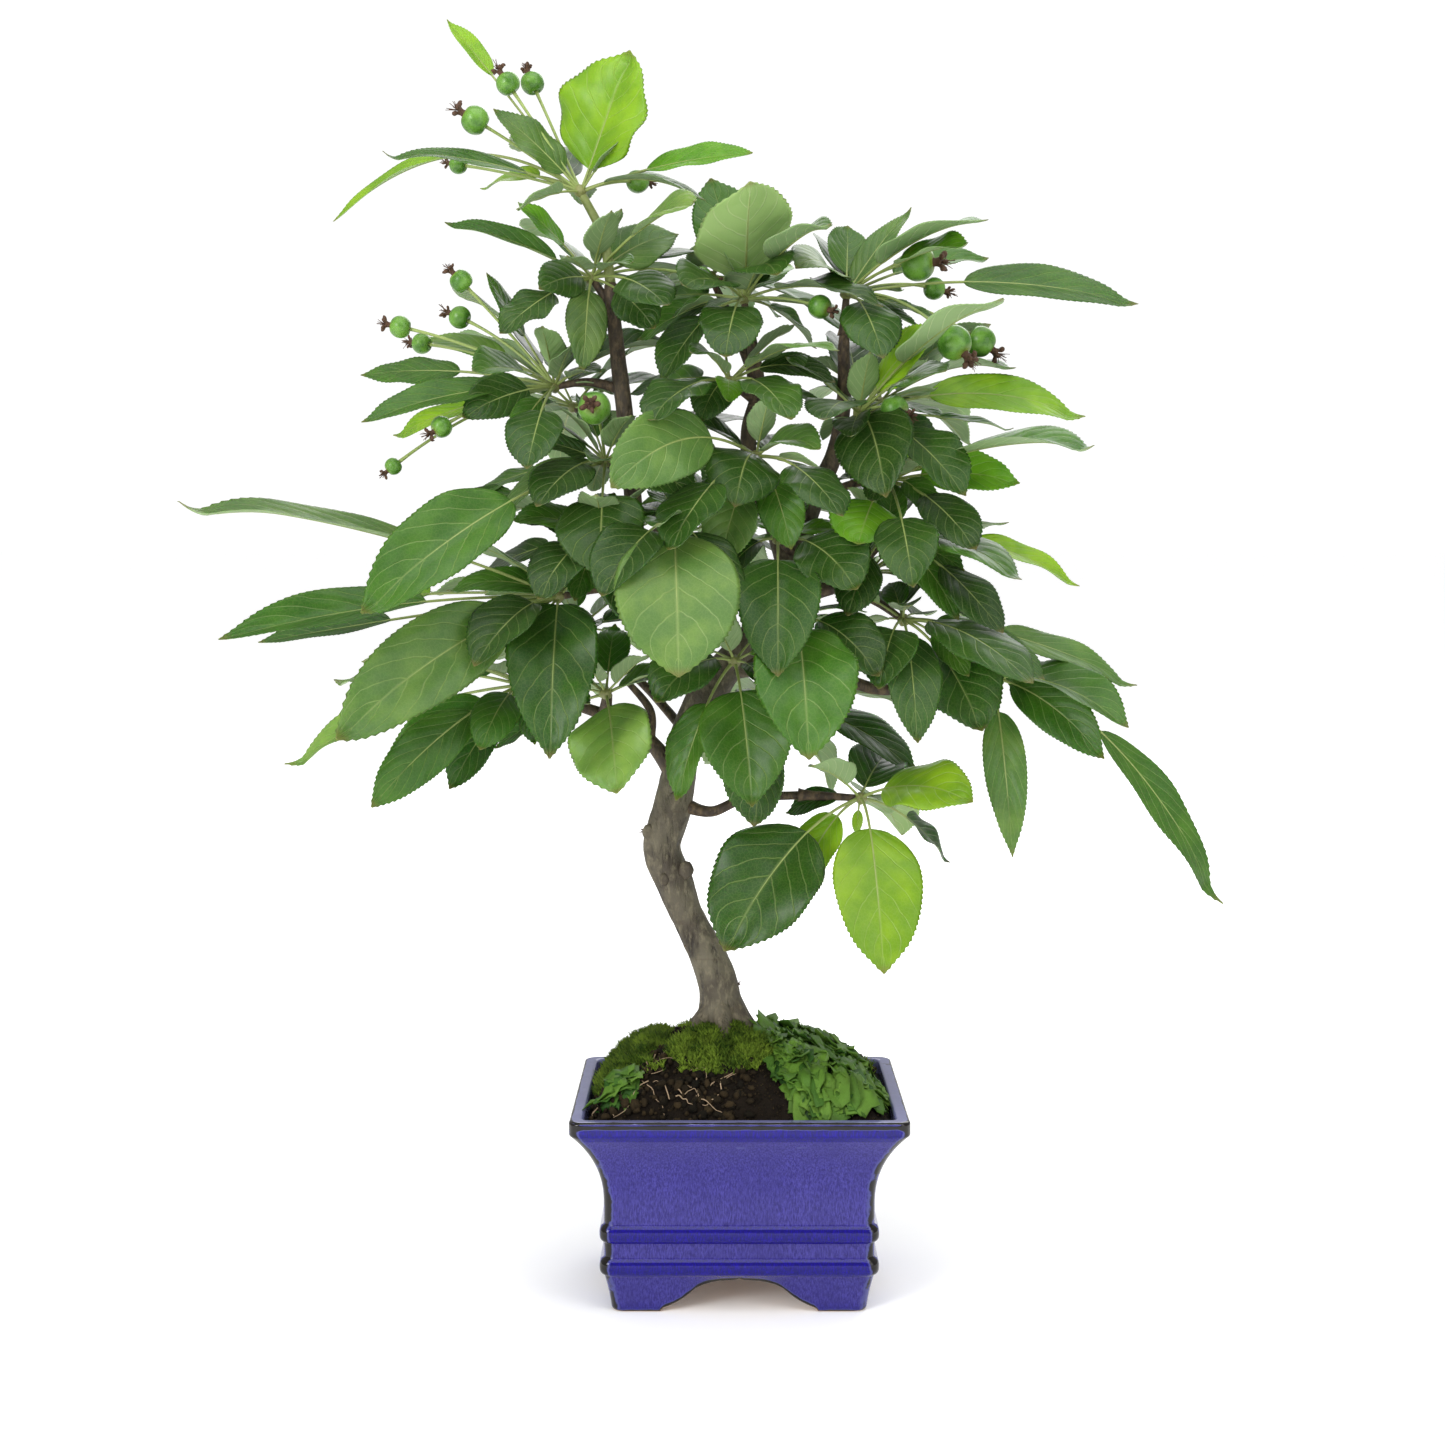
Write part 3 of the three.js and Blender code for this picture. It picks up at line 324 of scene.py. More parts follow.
# uv is (share from stalk to tip, -1 to 1 across), and 4 more across on the underside. A side vein runs
# where veins (u - slope |v|^1.15) passes a whole number. The upper side's veins are sunk, the underside's
# stand out.
def makeLeafMaterial(name, gloss):
    material, tree, shader = newMaterial(name)
    uv = addNode(tree, "UVMap", uv_map="blade").outputs[0]
    parts = addNode(tree, "SeparateXYZ", {0: uv})
    under = mathNode(tree, "GREATER_THAN", parts.outputs[1], 2.0)
    across = mathNode(tree, "SUBTRACT", parts.outputs[1], times(tree, under, 4.0))
    out = mathNode(tree, "ABSOLUTE", across)
    bend = mathNode(tree, "POWER", out, 1.15)
    slope = times(tree, bend, leafFinish["veinSlope"])
    phase = times(tree, mathNode(tree, "SUBTRACT", parts.outputs[0], slope), leafFinish["veins"])
    phase = plus(tree, phase, times(tree, objectNoise(tree, 90, 2), 0.5))
    near = mathNode(tree, "PINGPONG", phase, 0.5)
    sideVein = smoothStep(tree, near, 0.0, 0.065, 1, 0)
    sideVein = times(tree, sideVein, smoothStep(tree, out, 0.75, 1.0, 1, 0.25))
    midVein = smoothStep(tree, out, 0.0, 0.055, 1, 0)
    vein = mathNode(tree, "MAXIMUM", sideVein, midVein)
    place = addNode(tree, "TexCoord").outputs["Object"]
    cells = addNode(tree, "TexVoronoi", {"Vector": place, "Scale": 650.0}, feature="DISTANCE_TO_EDGE")
    network = smoothStep(tree, cells.outputs[0], 0.0, 0.12, 1, 0)
    tint = readMark(tree, "tint", "Color")
    cloudy = smoothStep(tree, objectNoise(tree, 70, 4), 0.35, 0.7)
    top = mixColour(tree, cloudy, mixColour(tree, 1.0, tint, (0.72, 0.79, 0.74), "MULTIPLY"),
                    mixColour(tree, 1.0, tint, (1.18, 1.1, 0.95), "MULTIPLY"))
    veinColour = mixColour(tree, 0.6, tint, (0.34, 0.42, 0.14))
    top = mixColour(tree, times(tree, vein, 0.38), top, veinColour)
    top = mixColour(tree, times(tree, network, 0.10), top, veinColour)
    back = mixColour(tree, 0.62, tint, leafFinish["paleBack"])
    back = mixColour(tree, times(tree, vein, 0.5), back, (0.45, 0.52, 0.28))
    blade = mixColour(tree, under, top, back)
    spots = smoothStep(tree, objectNoise(tree, 70, 2), 0.74, 0.80)
    tip = smoothStep(tree, parts.outputs[0], 0.93, 1.0)
    brown = times(tree, mathNode(tree, "MAXIMUM", times(tree, spots, out), tip), 0.5)
    blade = mixColour(tree, brown, blade, (0.16, 0.11, 0.03))
    dull = times(tree, objectNoise(tree, 260, 3), 0.16)
    shine = plus(tree, times(tree, under, 0.22), gloss - 0.08)
    sunk = times(tree, vein, mathNode(tree, "SUBTRACT", times(tree, under, 2.0), 1.0))
    quilt = smoothStep(tree, near, 0.05, 0.5)
    height = plus(tree, sunk, times(tree, quilt, 0.5))
    height = plus(tree, height, times(tree, network, -0.06))
    setBump(tree, shader, height, 0.0004, 0.45)
    setShader(tree, shader, {
        "Base Color": blade, "Roughness": plus(tree, shine, dull), "Specular IOR Level": 0.27,
        "Subsurface Weight": 0.10, "Subsurface Radius": (0.4, 0.9, 0.15), "Subsurface Scale": 0.002})
    return material


# Green streaks, browner by the wear mark
def makeStalkMaterial():
    material, tree, shader = newMaterial("green stalk")
    streak = objectNoise(tree, 500, 3)
    green = mixColour(tree, streak, colour(118, 140, 62), colour(158, 178, 104))
    green = mixColour(tree, readMark(tree, "wear"), green, colour(96, 70, 48))
    setShader(tree, shader, {"Base Color": green, "Roughness": plus(tree, times(tree, streak, 0.2), 0.4)})
    setBump(tree, shader, streak, 0.0002, 0.6)
    return material


# Patches, flecks, dark upright cracks and faint rings, and brown young bark by the wear mark
def makeBarkMaterial():
    material, tree, shader = newMaterial("grey brown bark")
    thin = readMark(tree, "wear")
    broad = objectNoise(tree, 55, 5)
    fine = objectNoise(tree, 420, 6, stretch=(1, 1, 0.45), rough=0.65)
    cracks = objectNoise(tree, 260, 5, stretch=(1, 1, 0.3), rough=0.6)
    rings = objectNoise(tree, 200, 3, stretch=(0.35, 0.35, 2.2), rough=0.5)
    bark = mixColour(tree, smoothStep(tree, broad, 0.35, 0.68), colour(59, 51, 39), colour(92, 86, 69))
    bark = mixColour(tree, smoothStep(tree, fine, 0.45, 0.72), bark, colour(113, 106, 87))
    bark = mixColour(tree, smoothStep(tree, cracks, 0.40, 0.30, 0, 0.8), bark, colour(32, 25, 19))
    bark = mixColour(tree, smoothStep(tree, rings, 0.60, 0.75, 0, 0.35), bark, colour(72, 57, 39))
    young = mixColour(tree, smoothStep(tree, fine, 0.4, 0.7), colour(54, 42, 31), colour(102, 86, 64))
    bark = mixColour(tree, thin, bark, young)
    setShader(tree, shader, {"Base Color": bark, "Roughness": smoothStep(tree, fine, 0.3, 0.7, 0.62, 0.85)})
    height = plus(tree, times(tree, fine, 0.5), smoothStep(tree, cracks, 0.25, 0.5))
    height = plus(tree, height, times(tree, rings, 0.4))
    setBump(tree, shader, height, 0.0011, 0.9)
    return material


# tint holds the glaze's state: red where it has run thin off an edge, green for a painted dark reflection on
# the ribs and under the lip and for darker glaze towards the foot's bottom, blue where the clay is bare
def makeGlazeMaterial():
    material, tree, shader = newMaterial("cobalt glaze")
    state = addNode(tree, "SeparateColor", {0: readMark(tree, "tint", "Color")})
    thin, deep, bare = (state.outputs[k] for k in range(3))
    streak = objectNoise(tree, 1700, 5, stretch=(1, 1, 0.24), rough=0.72)
    broad = objectNoise(tree, 60, 4, stretch=(1, 1, 0.5))
    speck = objectNoise(tree, 2200, 2, rough=0.6)
    glaze = mixColour(tree, smoothStep(tree, streak, 0.34, 0.66), colour(26, 18, 92), colour(62, 56, 140))
    glaze = mixColour(tree, smoothStep(tree, broad, 0.35, 0.7, 0, 0.4), glaze, colour(36, 30, 104))
    glaze = mixColour(tree, smoothStep(tree, speck, 0.64, 0.76, 0, 0.45), glaze, colour(84, 84, 150))
    # a darker, bluer glaze that paints the reflection of dark surroundings on the ribs and under the lip, and
    # darkens the foot's bottom
    darkBandBlue = mixColour(tree, smoothStep(tree, streak, 0.4, 0.7), colour(5, 0, 88), colour(19, 0, 140))
    glaze = mixColour(tree, smoothStep(tree, deep, 0.22, 0.42), glaze, darkBandBlue)
    patchy = times(tree, mathNode(tree, "SUBTRACT", objectNoise(tree, 160, 4), 0.5), 0.9)
    ragged = plus(tree, thin, patchy)
    glaze = mixColour(tree, smoothStep(tree, ragged, 0.34, 0.56), glaze, colour(64, 66, 128))
    glaze = mixColour(tree, smoothStep(tree, bare, 0.08, 0.26, 0, 0.8), glaze, colour(112, 114, 152))
    glaze = mixColour(tree, smoothStep(tree, ragged, 0.56, 0.70), glaze, colour(13, 9, 7))
    grain = objectNoise(tree, 700, 4)
    clay = mixColour(tree, grain, colour(150, 112, 84), colour(196, 164, 134))
    bareness = smoothStep(tree, bare, 0.4, 0.7)
    gloss = smoothStep(tree, broad, 0.3, 0.7, 0.10, 0.17)
    gloss = plus(tree, gloss, times(tree, bareness, 0.65))
    setShader(tree, shader, {
        "Base Color": mixColour(tree, bareness, glaze, clay), "Roughness": gloss, "IOR": 1.42,
        "Specular IOR Level": 0.38, "Coat Weight": 0.12, "Coat Roughness": 0.05})
    setBump(tree, shader, plus(tree, broad, times(tree, speck, 0.06)), 0.0012, 0.35)
    return material


# Three colours by noise at two sizes, half mixed with the tint mark. `cell` is the noise's cells per metre.
def makeGroundMaterial(name, dark, mid, light, cell, rough, bumpDistance):
    material, tree, shader = newMaterial(name)
    tint = readMark(tree, "tint", "Color")
    broad = objectNoise(tree, cell, 6, rough=0.65)
    fine = objectNoise(tree, cell * 6, 5, rough=0.7)
    ground = mixColour(tree, smoothStep(tree, broad, 0.35, 0.6), dark, mid)
    ground = mixColour(tree, smoothStep(tree, fine, 0.58, 0.74), ground, light)
    ground = mixColour(tree, 0.5, ground, tint)
    setShader(tree, shader, {"Base Color": ground, "Specular IOR Level": 0.15,
                             "Roughness": smoothStep(tree, fine, 0.3, 0.7, rough - 0.1, rough)})
    setBump(tree, shader, plus(tree, broad, times(tree, fine, 0.5)), bumpDistance, 0.9)
    return material


# Broad patches with small pale dots, yellower by the wear mark
def makeFruitMaterial():
    material, tree, shader = newMaterial("green fruit skin")
    broad = objectNoise(tree, 150, 3)
    dots = objectNoise(tree, 1400, 2)
    green = mixColour(tree, smoothStep(tree, broad, 0.35, 0.65), colour(62, 106, 30), colour(98, 142, 54))
    green = mixColour(tree, smoothStep(tree, dots, 0.66, 0.74, 0, 0.22), green, colour(160, 184, 110))
    green = mixColour(tree, readMark(tree, "wear"), green, colour(150, 140, 60))
    setShader(tree, shader, {
        "Base Color": green, "Roughness": smoothStep(tree, dots, 0.3, 0.7, 0.26, 0.36),
        "Specular IOR Level": 0.35, "Subsurface Weight": 0.15, "Subsurface Radius": (0.5, 1.0, 0.2),
        "Subsurface Scale": 0.002})
    setBump(tree, shader, dots, 0.0001, 0.25)
    return material


# A plain material, its colour and roughness between two values by fine noise
def makePlainMaterial(name, dark, light, rough, bump, metallic=0.0, noiseScale=800, detail=4,
                      noiseRough=0.55):
    material, tree, shader = newMaterial(name)
    fine = objectNoise(tree, noiseScale, detail, rough=noiseRough)
    setShader(tree, shader, {"Base Color": mixColour(tree, fine, dark, light), "Metallic": metallic,
                             "Roughness": smoothStep(tree, fine, 0.3, 0.7, rough, rough + 0.2)})
    setBump(tree, shader, fine, *bump)
    return material


leafMaterial = makeLeafMaterial("leaf", leafFinish["gloss"])
youngLeafMaterial = makeLeafMaterial("young leaf", leafFinish["youngGloss"])
stalkMaterial = makeStalkMaterial()
barkMaterial = makeBarkMaterial()
glazeMaterial = makeGlazeMaterial()
soilMaterial = makeGroundMaterial(
    "damp soil", colour(7, 6, 3), colour(25, 20, 11), colour(62, 50, 32), 220, 0.95, 0.0016)
mossMaterial = makeGroundMaterial(
    "moss", colour(36, 58, 12), colour(76, 106, 28), colour(120, 150, 52), 220, 0.95, 0.0008)
liverwortMaterial = makeGroundMaterial(
    "liverwort", colour(28, 64, 18), colour(48, 94, 28), colour(84, 128, 48), 140, 0.6, 0.0005)
rootMaterial = makePlainMaterial(
    "fine roots", colour(120, 94, 68), colour(186, 164, 134), 0.7, (0.0002, 0.4))
fruitMaterial = makeFruitMaterial()
calyxMaterial = makePlainMaterial(
    "dried calyx", colour(28, 20, 16), colour(104, 72, 48), 0.7, (0.0004, 0.8),
    noiseScale=900, detail=5, noiseRough=0.7)
meshMaterial = makePlainMaterial(
    "black plastic mesh", colour(16, 17, 18), colour(44, 46, 48), 0.5, (0.0002, 0.4))
wireMaterial = makePlainMaterial(
    "aluminium wire", colour(150, 150, 152), colour(196, 196, 198), 0.3, (0.0002, 0.4), metallic=1.0)
print("materials made")


potSizes = dict(
    rimHalf=70.0, waistHalf=56.5, footHalf=53.5, depthLess=12.5, height=85.0, lip=6.0, waistTop=46.0,
    wall=6.0, footWall=8.0, floorBottom=15.0, floorTop=21.0, corner=5.0, ribs=(20.0, 34.0), ribHeight=7.2,
    ribOut=1.8, frontArch=33.0, sideArch=21.0, archRise=13.5, edge=1.4, drainRadius=7.0, drainOffset=28.0,
)
# heights of the glaze's lines and of the painted dark reflection under the lip, and how far in from a corner
# it has run thin
glazeSizes = dict(lipLine=83.0, underLipReflectionLine=79.3, faintLine=73.5, footDarkReach=16, paleFrom=45, cornerReach=5)


# Half width of waist and flare at a height: waist + (rim - waist) share^2.2
def flare(height):
    s = potSizes
    share = np.clip((height - s["waistTop"]) / (s["height"] - s["lip"] - s["waistTop"]), 0, 1)
    return s["waistHalf"] + (s["rimHalf"] - s["waistHalf"]) * share**2.2


# Half width of the outside at a height: the flare, drawn in to the foot in a hollow line of share^1.4, and
# two ribs of ribOut sqrt(1 - d^2.6).
def outsideHalf(height):
    s = potSizes
    low = np.clip(height / (s["ribs"][0] - s["ribHeight"] / 2), 0, 1)
    half = flare(height) - (s["waistHalf"] - s["footHalf"]) * (1 - low**1.4)
    for middle in s["ribs"]:
        d = np.clip(np.abs(height - middle) / (s["ribHeight"] / 2), 0, 1)
        half = half + s["ribOut"] * np.sqrt(1 - d**2.6)
    return half


# Half width of the inside at a height: the flare less the wall
def flareInside(height):
    return flare(height) - potSizes["wall"]


# Height of the bracket-shaped arch at a distance from its middle, read off a list of shares
def archHeight(distance, half):
    share = np.abs(distance) / half
    shares = [0, 0.05, 0.12, 0.25, 0.35, 0.45, 0.55, 0.62, 0.70, 0.78, 0.87, 0.97, 1.0]
    rises = [1.06, 1.01, 1.0, 0.985, 0.94, 0.87, 0.75, 0.60, 0.44, 0.31, 0.20, 0.10, 0.0]
    return np.interp(share, shares, np.array(rises) * potSizes["archRise"], right=0)


# 1 in the middle of a band and falling off past `reach` as exp(-(d / reach)^power)
def bandAt(height, middle, reach, power):
    return np.exp(-((height - middle) / reach) ** power)


# The wall's section as (half width, height): up the outside, over the lip, down the inside and the foot's
# inside, and back out under the foot. Returned with the number of points in each stretch.
def potProfile():
    s = potSizes
    e = s["edge"]
    turn = np.linspace(0, np.pi / 2, 6)
    inner = s["rimHalf"] - s["wall"]
    footInner = s["footHalf"] - s["footWall"]
    outerHeights = np.linspace(e, s["height"] - e, 118)
    innerHeights = np.linspace(s["height"] - e, s["floorTop"], 26)[1:]
    downHeights = np.linspace(s["floorBottom"] + 3, e, 12)
    stretches = dict(
        outer=grid(outsideHalf(outerHeights), outerHeights),
        lipOut=grid(s["rimHalf"] - e + e * np.cos(turn[1:]), s["height"] - e + e * np.sin(turn[1:])),
        lipTop=np.array([[inner + 4, s["height"]], [inner + 2.4, s["height"]]]),
        lipIn=grid(inner + e - e * np.sin(turn), s["height"] - e + e * np.cos(turn)),
        inside=grid(flareInside(innerHeights), innerHeights),
        down=grid(footInner, downHeights),
        footIn=grid(footInner + e - e * np.cos(turn[1:]), e - e * np.sin(turn[1:])),
        footOut=grid(s["footHalf"] - e + e * np.sin(turn[:-1]), e - e * np.cos(turn[:-1])),
    )
    counts = {name: len(stretch) for name, stretch in stretches.items()}
    return np.concatenate(list(stretches.values())), counts


# The glaze's state at each point: thin along the lip, corners and arches, a painted dark reflection on the
# ribs and under the lip, darker towards the foot's bottom, bare inside the foot.
def glazeState(x, y, z, half, lift, counts):
    s, g = potSizes, glazeSizes
    half = half[:, None]
    rows = len(half)
    index = np.arange(rows)[:, None]
    outsideEnd = counts["outer"] + counts["lipOut"]
    outside = (index < outsideEnd) | (index >= rows - counts["footOut"])
    # how far a point is round a corner, 1 in its middle
    nearX = (half - np.abs(x)) / g["cornerReach"]
    nearY = (half - s["depthLess"] - np.abs(y)) / g["cornerReach"]
    cornerness = np.clip(1.65 - 1.5 * (nearX + nearY), 0, 1)
    onRib = sum(bandAt(z, middle, 3.5, 4) for middle in s["ribs"])
    onLip = bandAt(z, g["lipLine"], 0.9, 2) * outside
    onCorner = cornerness * outside * (0.88 + 0.12 * (z > 40)) + cornerness * onRib * 0.3
    thin = np.clip(onLip * 1.3 + onCorner, 0, 1.2)
    thin = np.maximum(thin, 0.40 * bandAt(z, g["faintLine"], 0.8, 2) * outside)
    onTop = (index >= counts["outer"] + 1) & (index < outsideEnd + counts["lipTop"] + counts["lipIn"])
    thin = np.where(onTop, 0.44 + 0.5 * bandAt(half, s["rimHalf"] - 0.6, 0.5, 2), thin)
    underArch = np.clip(1.4 - (z - lift) / 2.0, 0, 1.1) * (lift > 0.5)
    underFoot = np.clip(1 - z / 2.2, 0, 1) * (lift <= 0.5)
    thin = np.maximum(thin, (underArch + underFoot) * outside)
    # the green channel is a painted dark reflection on the ribs and under the lip, and darker glaze towards
    # the foot's bottom
    deep = np.clip(onRib * (1 - cornerness * 0.5) + bandAt(z, g["underLipReflectionLine"], 2.6, 4) * outside * 1.1, 0, 1)
    darkerFoot = np.clip(1 - z / g["footDarkReach"], 0, 1) * 0.35
    inFoot = (index >= rows - counts["footOut"] - counts["footIn"] - counts["down"]) & (index < rows - 2)
    pale = (z > s["height"] - 0.6) | (~outside & (z > g["paleFrom"]))
    return grid(thin, np.maximum(deep, darkerFoot) * outside, np.maximum(1.0 * inFoot, 0.3 * pale))


# The profile carried round a rectangle with rounded corners. Below the ribs each ring is lifted off the
# arches: z = lift + z (1 - lift / top).
def makePotWall():
    s = potSizes
    profile, counts = potProfile()
    half, height = profile.T
    index = np.arange(len(profile))
    outside = (index < counts["outer"] + counts["lipOut"]) | (index >= len(profile) - counts["footOut"])
    corner = np.where(outside, s["corner"], s["corner"] - 2)
    rings = rectangleRings(half, half - s["depthLess"], corner, 84, 64, 8)
    rows, around = rings.shape[:2]
    x, y = rings[..., 0], rings[..., 1]
    z = np.repeat(height[:, None], around, 1)
    lift = np.maximum(archHeight(x, s["frontArch"]), archHeight(y, s["sideArch"]))
    top = s["ribs"][0] - s["ribHeight"] / 2
    z = np.where(z < top, lift + z * (1 - lift / top), z)
    tint = glazeState(x, y, z, half, lift, counts)
    return skin(grid(x, y, z).reshape(-1, 3), loopFaces(rows, around), tint=tint.reshape(-1, 3))


# The floor: on each side of the middle, a block whose top and bottom run from a half rectangle in to the
# drain hole's circle.
def makePotFloor(side):
    s = potSizes
    around = 96
    a = turnAngles(around)
    direction = grid(np.cos(a), np.sin(a))
    centre = np.array([side * s["drainOffset"], 0.0])
    half = s["footHalf"] - s["footWall"] + 2.5
    low = np.array([min(side * half, -side * 0.5), -(half - s["depthLess"])])
    high = np.array([max(side * half, -side * 0.5), half - s["depthLess"]])
    reach = np.where(direction > 0, high - centre, low - centre)
    reach = np.abs(reach / np.where(np.abs(direction) < 1e-6, 1e-6, direction)).min(1)
    rows = []
    for height, shares in ((s["floorTop"], np.linspace(1, 0, 8)), (s["floorBottom"], np.linspace(0, 1, 8))):
        for share in shares:
            radius = s["drainRadius"] + (reach - s["drainRadius"]) * share
            place = centre + direction * radius[:, None]
            rows.append(grid(*place.T, height))
    points = np.concatenate(rows)
    return skin(points, loopFaces(16, around), tint=(0, 0, 1))


makePiece("potGlazed", [makePotWall(), makePotFloor(-1), makePotFloor(1)], [glazeMaterial], "glaze", "pot")
print("pot made")


drainSizes = dict(side=24.0, thickness=0.8, bottom=21.3, bars=9, barRadius=0.3, weave=0.14, margin=0.6,
                  stapleRadius=0.6, stapleReach=12.0, leg=3.5)


# A woven screen: bars along X and Y whose height is a wave, one over the other where they cross.
def makeScreen(name, x):
    s = drainSizes
    skins = []
    edge = s["side"] / 2
    lanes = np.linspace(s["margin"] - edge, edge - s["margin"], s["bars"])
    t = np.linspace(-edge, edge, 37)
    radii = np.full(37, s["barRadius"])
    middle = s["bottom"] + s["thickness"] / 2
    wave = s["weave"] * np.cos(np.pi * (t - lanes[0]) / (lanes[1] - lanes[0]))
    for number, lane in enumerate(lanes):
        rise = middle + wave * (-1) ** number
        skins.append(tube(grid(x + t, lane, rise), radii, 6))
        skins.append(tube(grid(x + lane, t, 2 * middle - rise), radii, 6))
    makePiece(name + "Woven", skins, [meshMaterial], "drainage_mesh", name)


# A wire bent over the screen, down through the drain hole and out under the floor both ways
def makeStaple(name, x):
    s = drainSizes
    gap = 0.3 + s["stapleRadius"]
    top = s["bottom"] + s["thickness"] + gap
    under = potSizes["floorBottom"] - gap
    halfRun = [(s["leg"] * 0.7, top), (s["leg"], top - 1), (s["leg"], under + 1), (s["leg"] * 1.4, under),
               (s["stapleReach"], under)]
    points = [(x - across, 0, height) for across, height in reversed(halfRun)]
    points += [(x + across, 0, height) for across, height in halfRun]
    path = smoothRun(points, 0.6)
    makePiece(name + "Wire", [tube(path, np.full(len(path), s["stapleRadius"]), 12)], [wireMaterial],
              "staple_wire", name)


for sideName, sideX in (("left", -potSizes["drainOffset"]), ("right", potSizes["drainOffset"])):
    makeScreen("drainage_screen_" + sideName, sideX)
    makeStaple("screen_staple_" + sideName, sideX)
print("drainage made")


moundSizes = dict(crest=117.0, edgeHeight=79.0, edgeHalf=63.6, footX=-7.0, footY=0.0, roughness=2.0,
                  crumbs=5200, roots=60, wallHeights=(74.0, 60.0, 46.0, 30.0, 21.5), wallGap=0.4)


# Height of the mound: crest - drop (0.7 s + 0.3 s^8), s being 0 at the trunk and 1 at the pot's wall.
def moundTop(x, y):
    s = moundSizes
    wide = np.where(x > s["footX"], s["edgeHalf"] - s["footX"], s["edgeHalf"] + s["footX"])
    deepHalf = s["edgeHalf"] - potSizes["depthLess"]
    deep = np.where(y > s["footY"], deepHalf - s["footY"], deepHalf + s["footY"])
    share = np.clip(np.maximum(np.abs(x - s["footX"]) / wide, np.abs(y - s["footY"]) / deep), 0, 1)
    return s["crest"] - (s["crest"] - s["edgeHeight"]) * (0.7 * share + 0.3 * share**8)


# The mound's height averaged over nine places within 5 mm, which rounds its corners off
def softMound(x, y):
    around = [(0, 0), (5, 0), (-5, 0), (0, 5), (0, -5), (3.5, 3.5), (-3.5, 3.5), (3.5, -3.5), (-3.5, -3.5)]
    return sum(moundTop(x + dx, y + dy) for dx, dy in around) / len(around)


# A small lump of 20 faces, its corners moved by noise
def crumbShape(seed):
    g = (1 + 5**0.5) / 2
    corners = np.array([(-1, g, 0), (1, g, 0), (-1, -g, 0), (1, -g, 0), (0, -1, g), (0, 1, g), (0, -1, -g),
                        (0, 1, -g), (g, 0, -1), (g, 0, 1), (-g, 0, -1), (-g, 0, 1)], float)
    faces = np.array([(0, 11, 5), (0, 5, 1), (0, 1, 7), (0, 7, 10), (0, 10, 11), (1, 5, 9), (5, 11, 4),
                      (11, 10, 2), (10, 7, 6), (7, 1, 8), (3, 9, 4), (3, 4, 2), (3, 2, 6), (3, 6, 8),
                      (3, 8, 9), (4, 9, 5), (2, 4, 11), (6, 2, 10), (8, 6, 7), (9, 8, 1)])
    corners = unit(corners) * (1 + 0.28 * noise(corners * 5, 1.0, seed))[:, None]
    return corners, np.concatenate([faces, np.full((20, 1), -1)], 1)


# The mound is rings from the trunk's foot out to the pot's wall, then down along it, roughened by noise.
# Crumbs and fine roots lie on it.
def makeSoil():
    s = moundSizes
    random = np.random.default_rng(11)
    shares = np.concatenate([np.linspace(0.02, 0.97, 62), [1.0]])
    depthLess = potSizes["depthLess"]
    edge = rectangleRings([s["edgeHalf"]], [s["edgeHalf"] - depthLess], [3.0], 60, 48, 5)[0]
    foot = np.array([s["footX"], s["footY"]])
    flat = foot + (edge - foot)[None] * shares[:, None, None]
    x, y = flat[..., 0], flat[..., 1]
    place = grid(x, y, 0.0)
    z = softMound(x, y) + s["roughness"] * roughness(place, 7, 3) + 1.1 * roughness(place, 2.4, 5) - 1.2
    heights = np.array(s["wallHeights"])
    half = flareInside(heights) - s["wallGap"]
    wall = rectangleRings(half, half - depthLess, np.full(len(heights), 3.0), 60, 48, 5)
    rings = np.concatenate([grid(x, y, z), grid(wall[..., 0], wall[..., 1], heights[:, None])])
    rows, around = rings.shape[:2]
    ends = np.array([[s["footX"], s["footY"], s["crest"] - 1.0], [0, 0, heights[-1]]])
    points = np.concatenate([rings.reshape(-1, 3), ends])
    skins = [skin(points, ringFaces(rows, around), tint=colour(26, 18, 12))]
    # crumbs, most of them small
    count = s["crumbs"]
    x = random.uniform(-61.5, 61.5, count)
    y = random.uniform(-49.5, 49.5, count)
    size = 0.40 + 1.7 * random.random(count) ** 3.5
    # only tiny ones where the liverwort lies
    size = np.where((x > 6) & (y < 34), 0.35, size)
    z = softMound(x, y) - 0.9 + s["roughness"] * roughness(grid(x, y, 0.0), 7, 3) + size * 0.3
    tints = tintsBetween(colour(13, 11, 6), colour(74, 60, 38), random.random((count, 1)) ** 1.6)
    shape, faces = crumbShape(2)
    skins.append(scatter(shape, faces, grid(x, y, z), size[:, None] * random.uniform(0.7, 1.3, (count, 3)),
                         random.uniform(0, 6.28, count),
                         random.uniform(-0.3, 0.3, (count, 3)) * (1, 1, 0), tints))
    # fine roots that lie on the soil
    for number in range(s["roots"]):
        angle = random.uniform(0, 6.28)
        start = np.array([random.uniform(-58, 0), random.uniform(-46, 10)])
        bends = np.cumsum(random.uniform(-0.9, 0.9, 7)) + angle
        steps = np.cumsum(grid(np.cos(bends), np.sin(bends)) * random.uniform(1.2, 3.4), 0)
        run = np.clip(start + steps, (-61, -48), (4, 48))
        height = softMound(run[:, 0], run[:, 1]) + random.uniform(-0.7, 0.9, 7)
        path = smoothRun(grid(*run.T, height), 1.0)
        skins.append(tube(path, np.linspace(0.28, 0.10, len(path)), 5, finish=1))
    makePiece("soilMound", skins, [soilMaterial, rootMaterial], "soil", "soil")


makeSoil()
print("soil made")


mossPads = {
    "moss_front": dict(middle=(-8, -19), across=22, deep=13, thickness=5.0, tufts=2000, loose=0, seed=21),
    "moss_left": dict(middle=(-46, 6), across=17, deep=27, thickness=5.0, tufts=2300, loose=1500, seed=22),
}


# Height of a pad above the mound, thickness sqrt(1 - d^2), d being 1 at its edge
def padRise(pad, x, y):
    d = ((x - pad["middle"][0]) / pad["across"]) ** 2 + ((y - pad["middle"][1]) / pad["deep"]) ** 2
    return pad["thickness"] * np.sqrt(np.clip(1 - d, 0, 1))


